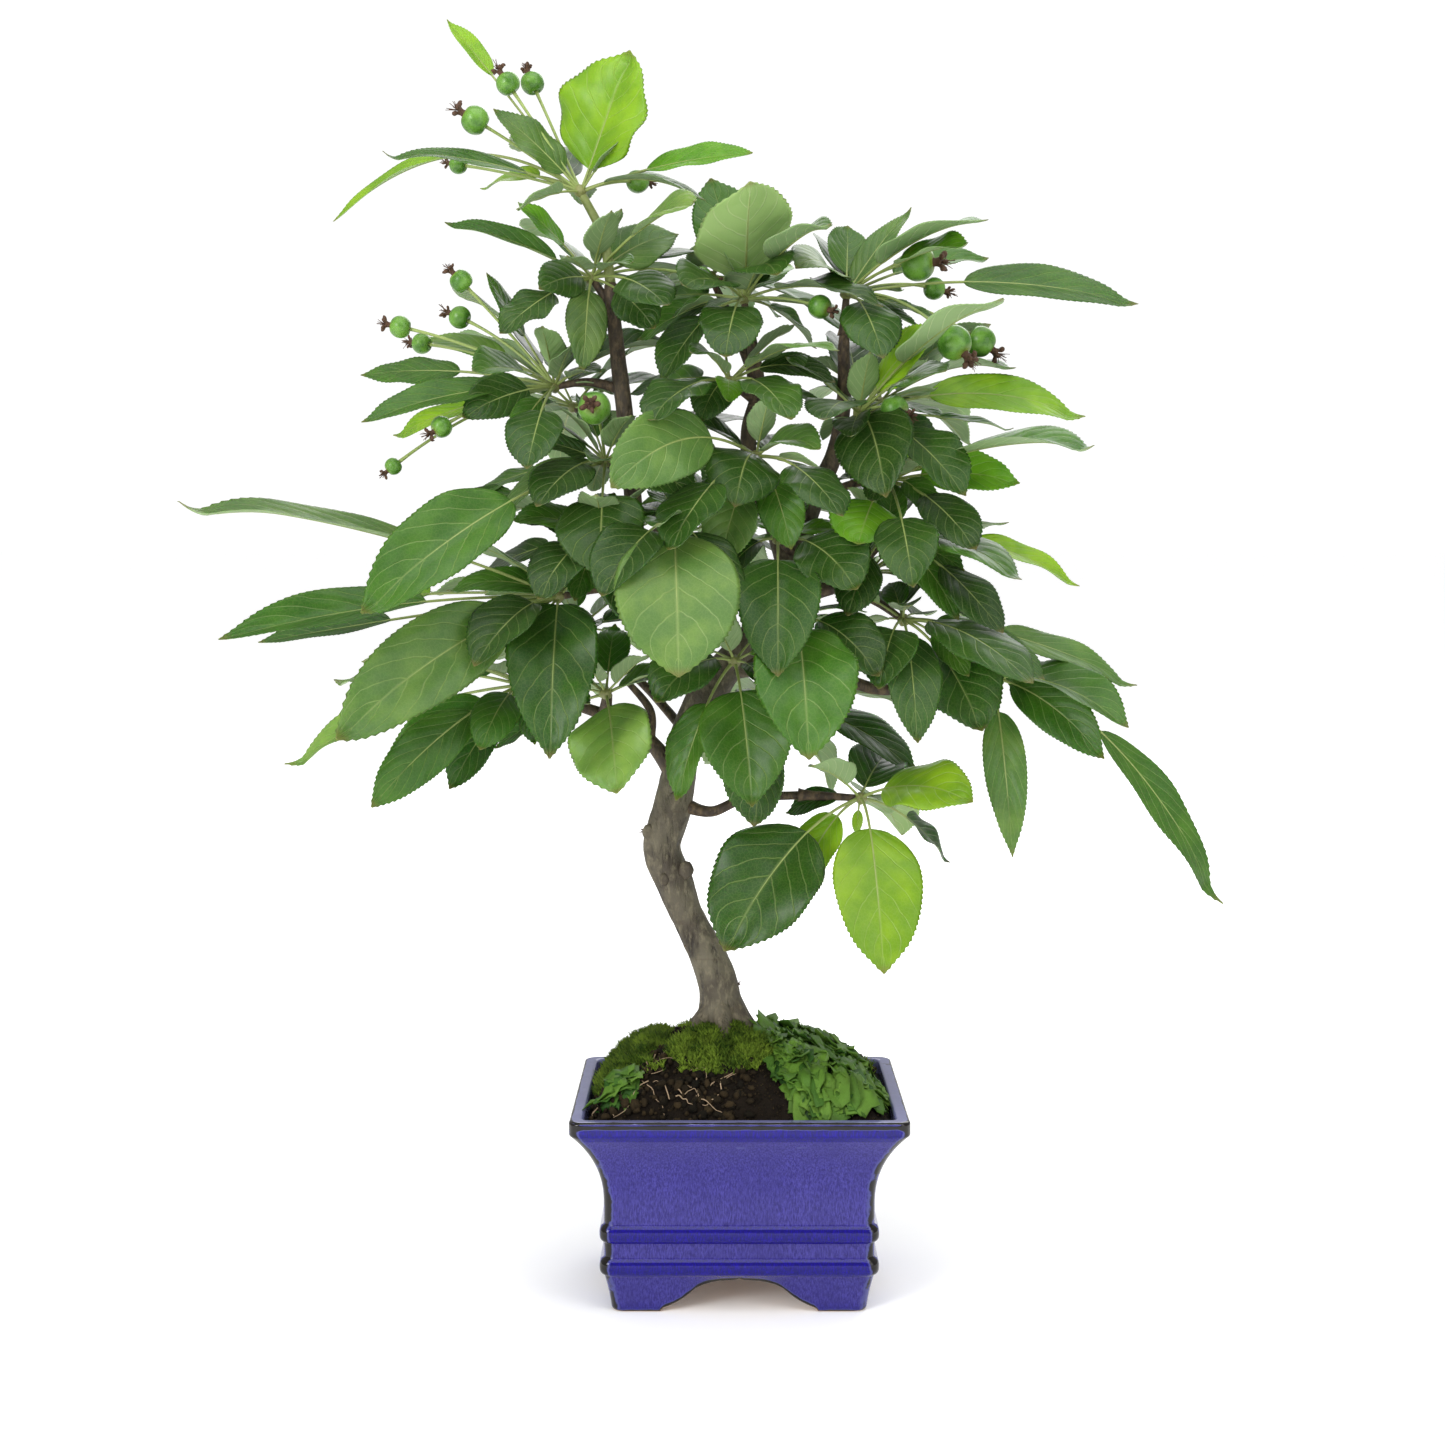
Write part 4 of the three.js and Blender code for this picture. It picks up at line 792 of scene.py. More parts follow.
# A lump that follows the mound: rings of an ellipse, ragged by noise, under a dome
def padLump(pad, seed, tint, around=84, rows=16, lower=2.5):
    shares = np.linspace(0.04, 1, rows)[:, None]
    a = turnAngles(around)[None]
    ragged = 1 + 0.06 * noise(grid(np.cos(a), np.sin(a), 0.0) * 9, 1.0, seed)
    x = pad["middle"][0] + pad["across"] * shares * np.cos(a) * (1 + (ragged - 1) * shares)
    y = pad["middle"][1] + pad["deep"] * shares * np.sin(a) * (1 + (ragged - 1) * shares)
    x = np.clip(x, -62.5, 62.5)
    y = np.clip(y, -50, 50)
    z = softMound(x, y) + padRise(pad, x, y) * 0.85 + 1.9 * roughness(grid(x, y, 0.0), 5, seed) - 0.8
    bottom = grid(x[-1:], y[-1:], softMound(x[-1:], y[-1:]) - lower)
    rings = np.concatenate([grid(x, y, z), bottom])
    middle = np.array(pad["middle"])
    ends = np.array([[*middle, z[0].mean()], [*middle, float(softMound(*middle)) - lower]])
    return skin(np.concatenate([rings.reshape(-1, 3), ends]), ringFaces(rows + 1, around), tint=tint)


# A tuft: five little leaves that spread from one foot, each a thin pyramid
def tuftShape():
    points, faces = [], []
    for number, angle in enumerate(turnAngles(5)):
        out = np.array([np.cos(angle), np.sin(angle), 0])
        side = np.array([-np.sin(angle), np.cos(angle), 0])
        base = 4 * number
        points += [out * 0.05 + side * 0.17, out * 0.05 - side * 0.17, -out * 0.12, out * 0.62 + upward * 0.8]
        faces += [(base, base + 1, base + 2, -1), (base, base + 3, base + 1, -1),
                  (base + 1, base + 3, base + 2, -1), (base + 2, base + 3, base, -1)]
    return np.array(points), np.array(faces)


# A pad under tufts that stand all over it, evenly in area: distance sqrt(random) from its middle
def makeMoss(name, pad):
    random = np.random.default_rng(pad["seed"])
    count = pad["tufts"]
    d = np.sqrt(random.random(count)) * 1.02
    a = random.uniform(0, 2 * np.pi, count)
    x = np.clip(pad["middle"][0] + pad["across"] * d * np.cos(a), -61.5, 61.5)
    y = np.clip(pad["middle"][1] + pad["deep"] * d * np.sin(a), -49.5, 49.5)
    # loose tufts stand in drifts over the bare soil round the trunk
    looseX = random.uniform(-58, 60, pad["loose"] * 3)
    looseY = random.uniform(-32, 49, pad["loose"] * 3)
    drift = noise(grid(looseX, looseY, 0.0), 9, 8) + 0.25 * (looseY > 5)
    kept = (drift > 0.12) & (np.hypot(looseX + 7, looseY) > 13) & ((looseX < 8) | (looseY > 22))
    x = np.concatenate([x, looseX[kept]])
    y = np.concatenate([y, looseY[kept]])
    count = len(x)
    place = grid(x, y, 0.0)
    z = softMound(x, y) + padRise(pad, x, y) * 0.85 + 1.9 * roughness(place, 5, pad["seed"]) - 0.9
    shade = np.clip(random.random((count, 1)) * 0.8 + 0.45 * noise(place, 6, 4)[:, None] + 0.1, 0, 1)
    tints = tintsBetween(colour(30, 52, 8), colour(150, 176, 60), shade)
    size = (1.5 + 3.2 * random.random(count) ** 1.8)[:, None] * np.ones(3)
    shape, faces = tuftShape()
    tufts = scatter(shape, faces, grid(x, y, z), size, random.uniform(0, 6.28, count),
                    random.uniform(-0.4, 0.4, (count, 3)) * (1, 1, 0), tints)
    makePiece(name.replace("_", "") + "Cushion", [padLump(pad, pad["seed"], colour(38, 50, 14)), tufts],
              [mossMaterial], "moss", name)


for padName in mossPads:
    makeMoss(padName, mossPads[padName])
print("moss made")


liverwortPads = {
    "liverwort_right": dict(middle=(37, -9), across=28, deep=42, thickness=3.5, lobes=560, seed=31),
    "liverwort_left": dict(middle=(-50, -37), across=10, deep=8, thickness=3.5, lobes=34, seed=32),
}


# A lobe: a disc of radius 1 + 0.17 cos(3a) + 0.12 cos(5a + 1) with a notch at its far end. Its top falls as
# sqrt(1 - 0.9 r^2) and its margin curls up by r^3.
def lobeShape():
    around, rows = 12, 2
    a = turnAngles(around)
    outline = 1 + 0.17 * np.cos(3 * a) + 0.12 * np.cos(5 * a + 1) - 0.34 * np.exp(-((a - np.pi) / 0.5) ** 2)
    shares = np.array([0.6, 1.0])
    x = shares[:, None] * outline * np.cos(a)
    y = shares[:, None] * outline * np.sin(a)
    z = 0.16 * np.sqrt(1 - shares[:, None] ** 2 * 0.9) + 0.20 * shares[:, None] ** 3 * (1 + np.sin(5 * a))
    top = grid(x, y, z)
    rings = np.concatenate([top, top[::-1] - (0, 0, 0.10)])
    ends = np.array([[0, 0, 0.12], [0, 0, 0.0]])
    return np.concatenate([rings.reshape(-1, 3), ends]), ringFaces(2 * rows, around)


# A low pad under lobes, each tipped with the mound's slope and a little more:
# z = size z + x slopeX + y slopeY
def makeLiverwort(name, pad):
    random = np.random.default_rng(pad["seed"])
    count = pad["lobes"]
    d = np.sqrt(random.random(count))
    a = random.uniform(0, 2 * np.pi, count)
    x = np.clip(pad["middle"][0] + pad["across"] * d * np.cos(a), -59, 59.5)
    y = np.clip(pad["middle"][1] + pad["deep"] * d * np.sin(a), -47, 47)
    step = 1.5
    slopeX = (softMound(x + step, y) - softMound(x - step, y)) / (2 * step)
    slopeY = (softMound(x, y + step) - softMound(x, y - step)) / (2 * step)
    z = softMound(x, y) + padRise(pad, x, y) * random.uniform(0.35, 1.0, count) - 0.3
    size = 1.5 + 3.8 * random.random(count) ** 1.5
    tints = tintsBetween(colour(30, 56, 14), colour(116, 148, 54), random.random((count, 1)))
    shape, faces = lobeShape()
    cos, sin = np.cos(random.uniform(0, 6.28, count)), np.sin(random.uniform(0, 6.28, count))
    tilt = random.uniform(-0.6, 0.6, (count, 2))
    cos, sin, size = cos[:, None], sin[:, None], size[:, None]
    lobeX = (shape[None, :, 0] * cos - shape[None, :, 1] * sin) * size
    lobeY = (shape[None, :, 0] * sin + shape[None, :, 1] * cos) * size
    lobeZ = shape[None, :, 2] * size + lobeX * (slopeX + tilt[:, 0])[:, None]
    lobeZ = lobeZ + lobeY * (slopeY + tilt[:, 1])[:, None]
    points = (grid(lobeX, lobeY, lobeZ) + grid(x, y, z)[:, None]).reshape(-1, 3)
    lobes = skin(points, copyFaces(faces, count, len(shape)), tint=np.repeat(tints, len(shape), 0))
    flat = dict(pad, across=pad["across"] * 0.96, deep=pad["deep"] * 0.96, thickness=pad["thickness"] * 0.6)
    makePiece(name.replace("_", "") + "Lobes", [padLump(flat, pad["seed"], colour(24, 34, 12)), lobes],
              [liverwortMaterial], "liverwort", name)


for padName in liverwortPads:
    makeLiverwort(padName, liverwortPads[padName])
print("liverwort made")


# Each limb is a run of (x, y, height above the crest, diameter), the trunk first.
woodSizes = dict(
    limbs=[
        [(-4, 0, -45, 17), (-6, 0, -22, 20), (-7, 0, -7, 22), (-8, 0, 8, 18.5), (-12, 0, 23, 16.5),
         (-22, 1, 43, 14), (-28, 2, 58, 16), (-33, 2, 73, 16.5), (-29, 1, 88, 17), (-26, 0, 103, 15),
         (-22, 0, 123, 13.5), (-14, 0, 138, 16), (-5, 0, 151, 14), (9, 1, 167, 13), (21, 2, 183, 12),
         (25, 3, 203, 11.5), (32, 3, 223, 9), (40, 0, 240, 7), (44, 0, 262, 6), (44, 0, 285, 5),
         (45, 0, 298, 3.5)],
        [(-14, 0, 138, 10), (-30, 6, 160, 8.5), (-42, 4, 190, 8), (-45, 2, 222, 7.5), (-48, 1, 255, 7),
         (-52, 0, 290, 6.5), (-54, 0, 313, 5.5)],
        [(22, 2, 190, 8.5), (14, 2, 212, 7.5), (6, 1, 228, 7), (4, 0, 250, 6.5), (8, 0, 268, 6),
         (4, 0, 294, 4.5)],
        [(-26, 0, 103, 8), (-38, 0, 119, 6), (-47, 0, 126, 5.5), (-60, 0, 131, 5), (-81, -9, 139, 4)],
        [(-5, 0, 151, 9), (20, -2, 150, 6.5), (45, -2, 145, 5.5), (62, -2, 141, 5), (89, -1, 143, 4)],
        [(21, 2, 180, 8), (42, 0, 185, 6)],
        [(-26, 0, 92, 6), (-12, -4, 89, 4.5), (3, -7, 95, 4), (27, -11, 97, 3.5)],
        [(-38, 0, 119, 4), (-38, 1, 132, 3.5), (-49, 0, 146, 2.5)],
        [(-56, 0, 130, 3), (-55, 1, 140, 2.2)],
    ],
    rootAngles=(-150, -95, -40, 35, 130),
    rootRun=((1, 8, 6.2), (4, 5, 5.2), (11, -2, 3.6), (19, -9.5, 2.4), (31, -24, 1.2)),
    knots=((-22.5, -5.0, 64, 3.2), (-38.5, -3, 80, 2.8), (-27, -7, 95, 2.6), (-8, -6, 13, 2.4),
           (-32, -5.5, 60, 2.2), (-20, -5, 128, 2.6), (14, -4.5, 172, 2.6), (27, -2, 208, 2.4)),
    tufts=((-39.5, 1, 80, -1.0, 0.1), (-1.4, -1, 13, 1.0, 0.4), (-20, -3, 30, -0.9, 0.5),
           (-23, -6, 100, -0.2, 0.6)),
    around=44, branchAround=26, rootAround=20, twigAround=14,
    thick=12,              # the trunk's rings are finer than those of limbs thinner than this
    relief=0.055,
)


# The direction at an angle seen from above, raised above the level
def raisedDirection(angle, raised):
    return np.array([np.cos(angle) * np.cos(raised), np.sin(angle) * np.cos(raised), np.sin(raised)])


# A limb: radius(s, angle) = r(s) (1 + collar e^(-s / 1.3 r0)) (1 + relief noise), with long ridges from a
# noise stretched along the limb, rounded off over its last radius.
def makeLimb(run, around, seed, collar, wear):
    run = np.array(run, float) + (0, 0, moundSizes["crest"], 0)
    sampled = smoothRun(run, 1.1 if run[0, 3] > woodSizes["thick"] else 1.4)
    path, radii = sampled[:, :3], sampled[:, 3] / 2
    length = np.concatenate([[0], np.cumsum(np.linalg.norm(np.diff(path, axis=0), axis=1))])
    left = length[-1] - length
    radii = radii * (1 + collar * np.exp(-length / (1.3 * radii[0])))
    radii = radii * np.sqrt(np.clip(1 - (1 - np.clip(left / radii[-1], 0, 1)) ** 2, 0.02, 1))
    surface = path[:, None] + radii[:, None, None] * directionsRound(path, around)
    a, length = turnAngles(around)[None], length[:, None]
    ridges = roughness(grid(np.cos(a) * 3, np.sin(a) * 3, length / 26), 1.0, seed)
    swell = roughness(surface, 11, seed + 4)
    fine = roughness(surface, 2.4, seed + 7)
    rings = noise(grid(length / 3.1, a * 0.5, 0.0), 1.0, seed + 9)
    factor = 1 + woodSizes["relief"] * (1.1 * ridges + 1.2 * swell) + 0.016 * fine + 0.010 * rings
    ages = np.append(np.repeat(wear(sampled[:, 3]), around), wear(sampled[[0, -1], 3]))
    return tube(path, radii[:, None] * factor, around, wear=ages)


# Young bark, 1, on wood thinner than 5.5 mm, and old bark, 0, on wood thicker than 10.5 mm
def youth(diameter):
    return np.clip((10.5 - diameter) / 5.0, 0, 1)


# An egg-shaped knot: a ball whose height across the bark is half its width, with a dimple in its middle
def makeKnot(x, y, height, radius, seed):
    rows, around = 10, 18
    w = ((np.arange(rows) + 1) / (rows + 1) * np.pi)[:, None]
    a = turnAngles(around)
    dent = 1 - 0.35 * np.exp(-(w / 0.5) ** 2)
    ring = grid(np.sin(w) * np.cos(a), np.cos(w) * dent * 0.55, np.sin(w) * np.sin(a) * 1.25)
    points = np.concatenate([ring.reshape(-1, 3), [[0, 0.36, 0], [0, -0.55, 0]]])
    points = points * radius * (1 + 0.08 * noise(points * 4, 1.0, seed))[:, None]
    points[:, 1] *= -1
    return skin(points + (x, y, height + moundSizes["crest"]), ringFaces(rows, around), wear=0.15)


# Dead bud scales: thin curled spikes from one foot, each a tapered tube along a bent line
def makeTuft(x, y, height, leanX, leanZ, seed):
    random = np.random.default_rng(seed)
    skins = []
    foot = np.array([x, y, height + moundSizes["crest"]])
    for spike in range(7):
        aim = unit(np.array([leanX, random.uniform(-0.7, 0.3), leanZ + random.uniform(-0.5, 0.5)]))
        bend = random.uniform(-1, 1, 3) * 0.9
        t = np.linspace(0, 1, 8)[:, None]
        path = foot + aim * t * random.uniform(1.8, 3.4) + bend * t**2
        skins.append(tube(path, 0.55 * (1 - 0.8 * t[:, 0]), 6, wear=0.9, finish=1))
    return skins


# A leaf is (tip x, tip y, tip height, length, width, rise, turn to the front, tone); a fruit is (x, y,
# height, radius, rise of its stalk); more is (leaves, aim, tilt) of the spray's far side. Heights are above
# the crest.
spraySizes = {
    "left_arm_end": dict(
        twig=[(-79, -8, 139)], bud=(-91, -18, 144), more=(2, 150, -10),
        leaves=[
            (-198, 20, 107, 78, 16, 12, 40, 5), (-144, -50, 105, 56, 21, 10, 55, 1),
            (-145, -75, 100, 62, 19, 12, 50, 1), (-120, -30, 102, 40, 17, 6, 50, 0),
            (-104, -58, 121, 36, 17, 10, 20, 1), (-181, 48, 142, 58, 20, 10, 30, 5),
            (-85, -25, 120, 20, 9, 4, 40, 0), (-123, 10, 150, 24, 10, 4, 40, 1),
        ],
    ),
    "left_arm_middle": dict(
        twig=[(-58, 0, 130)], bud=(-56, -13, 140), more=(2, 120, -20),
        leaves=[
            (-50, -46, 102, 42, 33, 12, 30, 5), (-104, -2, 126, 30, 12, 6, 40, 1),
        ],
    ),
    "left_arm_upper": dict(
        twig=[(-38, 5, 180), (-56, -10, 184)], bud=(-75, -22, 181), more=(2, 140, 5),
        leaves=[
            (-211, -104, 219, 108, 17, 14, 20, 2), (-208, -56, 165, 84, 19, 10, 35, 1),
            (-200, -20, 162, 56, 15, 2, 35, 0), (-105, -66, 155, 44, 22, 14, 20, 0),
            (-120, -30, 184, 44, 18, 10, 30, 1), (-156, -88, 128, 92, 31, 14, 55, 2),
            (-76, -62, 118, 78, 33, 20, 0, 0), (-185, 38, 174, 60, 24, 8, 25, 4),
            (-101, -40, 162, 26, 12, 3, 50, 1), (-89, -45, 158, 24, 11, 3, 50, 1),
        ],
    ),
    "left_leader_low": dict(
        twig=[(-46, 2, 230)], bud=(-56, -10, 237), more=(2, 130, 15),
        leaves=[
            (-145, -92, 177, 84, 28, 16, 50, 1), (-144, 5, 191, 60, 30, 12, 40, 0),
            (-98, -30, 216, 56, 15, 12, 25, 2), (-81, -54, 218, 38, 22, 12, 15, 0),
            (-29, -58, 233, 34, 20, 12, 10, 0), (-116, 12, 223, 34, 13, 8, 30, 1),
            (-56, -58, 191, 40, 33, 14, 10, 0), (-19, -42, 222, 38, 20, 10, 40, 0),
            (-85, -20, 246, 24, 12, 2, 45, 0),
        ],
        fruit=[
            (-59, -34, 258, 6.8, 9),
        ],
    ),
    "left_side": dict(
        twig=[(-50, 1, 268), (-64, 3, 271)], bud=(-78, 4, 269), more=(2, 110, 20),
        leaves=[
            (-114, -22, 255, 34, 19, 6, 60, 0), (-107, -46, 272, 36, 19, 8, 30, 1),
            (-85, -52, 233, 38, 21, 12, 10, 0), (-93, -28, 244, 30, 12, 6, 50, 1),
            (-105, -8, 315, 30, 14, 0, 40, 1), (-137, 30, 293, 44, 13, 8, 30, 5),
            (-162, 18, 275, 44, 15, 8, 40, 1), (-154, -34, 256, 62, 15, 9, 45, 1),
            (-147, 8, 249, 38, 14, 6, 30, 4), (-69, -20, 285, 26, 12, 4, 30, 2),
        ],
        fruit=[
            (-123, -20, 251, 4.5, 6), (-116, -6, 312, 4.8, 2), (-143, 4, 294, 4.8, 6),
            (-137, 26, 289, 4.5, 6), (-119, 14, 299, 4.8, 6), (-144, -14, 235, 3.6, 10),
        ],
    ),
    "left_top_low": dict(
        twig=[(-52, 0, 300)], bud=(-62, 3, 314), more=(2, 95, 10),
        leaves=[
            (-124, 8, 338, 50, 12, 6, 25, 1), (-18, -30, 337, 42, 22, 10, 40, 5),
            (-97, -34, 288, 34, 18, 8, 30, 0), (-29, -46, 298, 36, 21, 10, 25, 0),
            (-26, 22, 335, 34, 24, 8, 50, 2), (-93, 16, 299, 36, 18, 8, 30, 2),
            (-64, -26, 274, 40, 16, 14, 20, 2), (-82, -22, 307, 28, 17, 5, 55, 0),
            (-91, -14, 343, 26, 13, 4, 50, 3), (-35, -24, 291, 28, 17, 8, 40, 0),
        ],
        fruit=[
            (-16, 10, 315, 5, 8),
        ],
    ),
    "top": dict(
        shoot=[(-54, 0, 312), (-57, -1, 331)], bud=(-66, -3, 349), more=(2, 85, 5),
        leaves=[
            (-122, 6, 421, 30, 9, 2, 40, 4), (-169, -4, 337, 62, 10, 42, 30, 4),
            (-144, -30, 361, 60, 12, 8, 35, 1), (-111, 26, 355, 32, 13, 12, 30, 4),
            (-45, -14, 404, 50, 44, 0, 70, 4), (-43, 18, 399, 34, 15, 2, 60, 2),
            (-101, -12, 381, 38, 17, 4, 50, 2), (5, -26, 361, 46, 14, 6, 45, 3),
            (-49, -22, 367, 20, 8, 2, 30, 1),
        ],
        fruit=[
            (-96, -4, 393, 5, 0), (-109, -10, 377, 6, 2), (-87, 10, 396, 5, 0), (-119, 14, 363, 4, 2),
            (-43, 14, 356, 5, 3),
        ],
    ),
    "middle_top": dict(
        twig=[(4, 0, 290)], bud=(2, 0, 305), more=(2, 80, 5),
        leaves=[
            (4, -34, 348, 44, 40, 2, 20, 4), (15, -36, 311, 42, 28, 18, 20, 0),
            (-23, -48, 306, 38, 23, 10, 20, 0), (36, -46, 325, 38, 20, 12, 20, 1),
            (-6, -54, 277, 38, 23, 14, 5, 0), (24, -10, 322, 46, 20, 10, 30, 0),
            (-12, 20, 358, 40, 24, 4, 30, 1), (-32, -18, 270, 34, 20, 16, 20, 0),
            (-43, 6, 289, 36, 17, 8, 40, 1), (-44, 26, 314, 38, 16, 6, 30, 2),
            (33, 14, 286, 28, 14, 10, 30, 1),
        ],
        fruit=[
            (33, -20, 300, 5, 4),
        ],
    ),
    "middle_low": dict(
        twig=[(8, 0, 262)], bud=(-4, -12, 270), more=(2, 60, 10),
        leaves=[
            (-20, -34, 280, 34, 13, 10, 30, 1), (-36, -58, 252, 40, 23, 12, 10, 0),
            (20, -60, 252, 38, 22, 14, 10, 1), (39, -26, 269, 34, 15, 14, 40, 0),
            (-16, -30, 253, 30, 16, 10, 30, 0), (-47, 22, 267, 40, 18, 8, 30, 1),
        ],
    ),
    "right_top": dict(
        twig=[(44, 0, 290)], bud=(45, 0, 307), more=(2, 60, 10),
        leaves=[
            (73, 14, 345, 48, 13, 4, 25, 2), (47, 26, 339, 30, 18, 4, 20, 1),
            (23, -30, 315, 34, 25, 16, 30, 2), (57, -48, 277, 40, 22, 14, 10, 0),
            (91, -42, 323, 36, 18, 8, 30, 3), (163, -22, 301, 72, 19, 14, 45, 1),
            (108, 30, 316, 48, 20, 8, 20, 1), (83, -14, 295, 26, 8, 4, 30, 1),
        ],
        fruit=[
            (74, -10, 319, 7.5, 6), (83, 12, 311, 4.8, 6), (88, -24, 285, 7.2, 14), (102, 4, 288, 6.5, 10),
        ],
    ),
    "right_upper": dict(
        twig=[(41, 0, 246)], bud=(50, -8, 257), more=(2, 55, 15),
        leaves=[
            (77, -30, 292, 36, 24, 4, 60, 4), (144, -10, 256, 66, 21, 18, 50, 4),
            (59, -44, 222, 44, 30, 18, 30, 0), (81, -54, 271, 36, 22, 10, 30, 1),
            (91, -46, 226, 40, 22, 14, 20, 0), (33, -58, 252, 36, 22, 12, 5, 0),
            (117, 10, 252, 34, 8, 4, 20, 1), (82, -16, 242, 26, 15, 8, 50, 0),
            (19, -26, 279, 28, 13, 5, 30, 1),
        ],
        fruit=[
            (64, -20, 258, 6, 4),
        ],
    ),
    "centre_high": dict(
        twig=[(6, 1, 230)], bud=(7, -16, 239), more=(0, 0, 0),
        leaves=[
            (-50, -62, 225, 62, 27, 26, 60, 2), (-2, -48, 218, 40, 29, 16, 20, 0),
            (-8, -36, 195, 34, 20, 12, 30, 2), (32, -48, 241, 38, 17, 10, 30, 2),
            (-28, -68, 201, 40, 24, 16, 5, 0), (40, -68, 214, 40, 24, 14, 10, 0),
            (21, -36, 201, 34, 17, 14, 30, 1),
        ],
    ),
    "centre_front": dict(
        twig=[(-43, 3, 200), (-35, -18, 207)], bud=(-27, -38, 213), more=(0, 0, 0),
        leaves=[
            (-24, -84, 152, 66, 44, 22, 0, 2), (-54, -66, 183, 40, 24, 12, 20, 0),
            (-2, -62, 179, 36, 20, 12, 20, 0),
        ],
    ),
    "centre_right": dict(
        twig=[(24, 3, 198)], bud=(16, -16, 205), more=(0, 0, 0),
        leaves=[
            (15, -66, 151, 56, 30, 22, 5, 0), (47, -50, 185, 36, 28, 14, 30, 0),
            (-10, -34, 184, 30, 17, 12, 20, 0),
        ],
    ),
    "left_inner": dict(
        twig=[(-44, 3, 200)], bud=(-57, -20, 205), more=(2, 110, 0),
        leaves=[
            (-33, -62, 163, 50, 31, 16, 10, 0), (-113, 12, 189, 40, 18, 8, 35, 0),
            (-80, -66, 185, 38, 22, 14, 10, 0), (-93, -36, 213, 36, 18, 8, 30, 1),
            (-67, -40, 180, 26, 14, 8, 30, 1),
        ],
    ),
    "right_shoulder": dict(
        twig=[(32, 3, 221), (48, 0, 228)], bud=(63, -2, 229), more=(2, 50, 10),
        leaves=[
            (116, -18, 228, 42, 18, 8, 55, 3), (95, -46, 201, 38, 20, 12, 20, 0),
            (69, -58, 186, 38, 23, 14, 5, 0), (106, 16, 212, 34, 13, 4, 35, 5),
            (101, 30, 236, 40, 20, 8, 20, 4), (48, -40, 203, 26, 27, 10, 20, 3),
            (81, -26, 213, 26, 11, 12, 35, 1),
        ],
    ),
    "right_middle": dict(
        twig=[(21, 2, 180), (42, 0, 185)], bud=(62, -6, 205), more=(2, 55, 0),
        leaves=[
            (145, 4, 185, 52, 13, 16, 35, 4), (107, -40, 167, 40, 19, 14, 25, 0),
            (90, 24, 189, 36, 18, 10, 20, 5), (90, -30, 172, 46, 15, 14, 40, 1),
            (44, -40, 174, 32, 17, 14, 20, 0), (93, -22, 192, 26, 12, 6, 50, 1),
        ],
    ),
    "right_low": dict(
        twig=[(42, 0, 185), (57, -4, 179)], bud=(69, -8, 171), more=(2, 50, -10),
        leaves=[
            (113, -14, 156, 34, 14, 10, 40, 1), (124, -40, 148, 40, 18, 12, 30, 1),
            (169, -2, 143, 64, 15, 12, 35, 2), (99, -40, 127, 40, 33, 16, 20, 0),
            (71, -60, 124, 54, 21, 20, 0, 0), (56, -52, 145, 36, 22, 14, 10, 0),
            (94, -34, 149, 26, 11, 10, 40, 1),
        ],
    ),
    "right_end": dict(
        twig=[(85, -1, 143)], bud=(108, 0, 146), more=(2, 60, -15),
        leaves=[
            (146, -10, 134, 44, 18, 8, 50, 1), (150, -34, 115, 54, 20, 12, 50, 1),
            (144, 20, 119, 34, 17, 10, 35, 0), (208, 0, 49, 92, 18, 44, 55, 1),
            (114, -26, 73, 62, 16, 18, 20, 2), (112, 14, 100, 28, 12, 10, 20, 5),
        ],
    ),
    "low_right": dict(
        twig=[(25, -11, 97)], bud=(51, -14, 96), more=(1, 70, -20),
        leaves=[
            (94, -52, 99, 46, 28, 12, 35, 4), (58, -62, 31, 62, 33, 34, 0, 4),
            (91, 4, 66, 30, 16, 12, 30, 0), (-6, -56, 39, 62, 40, 22, 35, 0),
            (23, -20, 56, 38, 20, 14, 35, 4), (68, 26, 112, 40, 22, 8, 20, 0),
            (49, -22, 82, 12, 4, 2, 0, 4), (20, -8, 89, 24, 13, 6, 30, 0),
        ],
    ),
    "centre_low": dict(
        twig=[(-4, 0, 150)], bud=(-2, -18, 154), more=(0, 0, 0),
        leaves=[
            (5, -50, 97, 50, 34, 18, 10, 1), (-34, -44, 139, 36, 25, 14, 25, 0),
            (-26, -36, 98, 42, 17, 18, 15, 1),
        ],
    ),
    "centre_hanging": dict(
        twig=[(14, 1, 172)], bud=(23, -22, 172), more=(0, 0, 0),
        leaves=[
            (27, -76, 119, 62, 37, 26, 0, 1), (56, -50, 145, 38, 22, 14, 30, 0),
            (6, -34, 87, 40, 25, 28, 20, 0),
        ],
    ),
    "rear_left_low": dict(
        twig=[(-22, 0, 122), (-42, 22, 142)], bud=(-70, 38, 165), more=(6, 135, -5),
    ),
    "rear_left_high": dict(
        twig=[(-48, 1, 245), (-58, 20, 252)], bud=(-72, 34, 262), more=(6, 125, 10),
    ),
    "rear_centre_low": dict(
        twig=[(0, 0, 158), (-6, 28, 186)], bud=(-8, 40, 212), more=(6, 95, 0),
    ),
    "rear_centre_high": dict(
        twig=[(6, 0, 274), (-4, 20, 300)], bud=(-12, 32, 318), more=(4, 100, 15),
    ),
    "rear_right_low": dict(
        twig=[(20, 2, 182), (38, 26, 186)], bud=(58, 38, 190), more=(6, 50, -5),
    ),
    "rear_right_high": dict(
        twig=[(43, 0, 250), (52, 20, 257)], bud=(62, 34, 264), more=(6, 60, 10),
    ),
    "rear_foot": dict(
        twig=[(-16, 0, 133), (0, 22, 130)], bud=(18, 38, 130), more=(5, 70, -20),
    ),
}

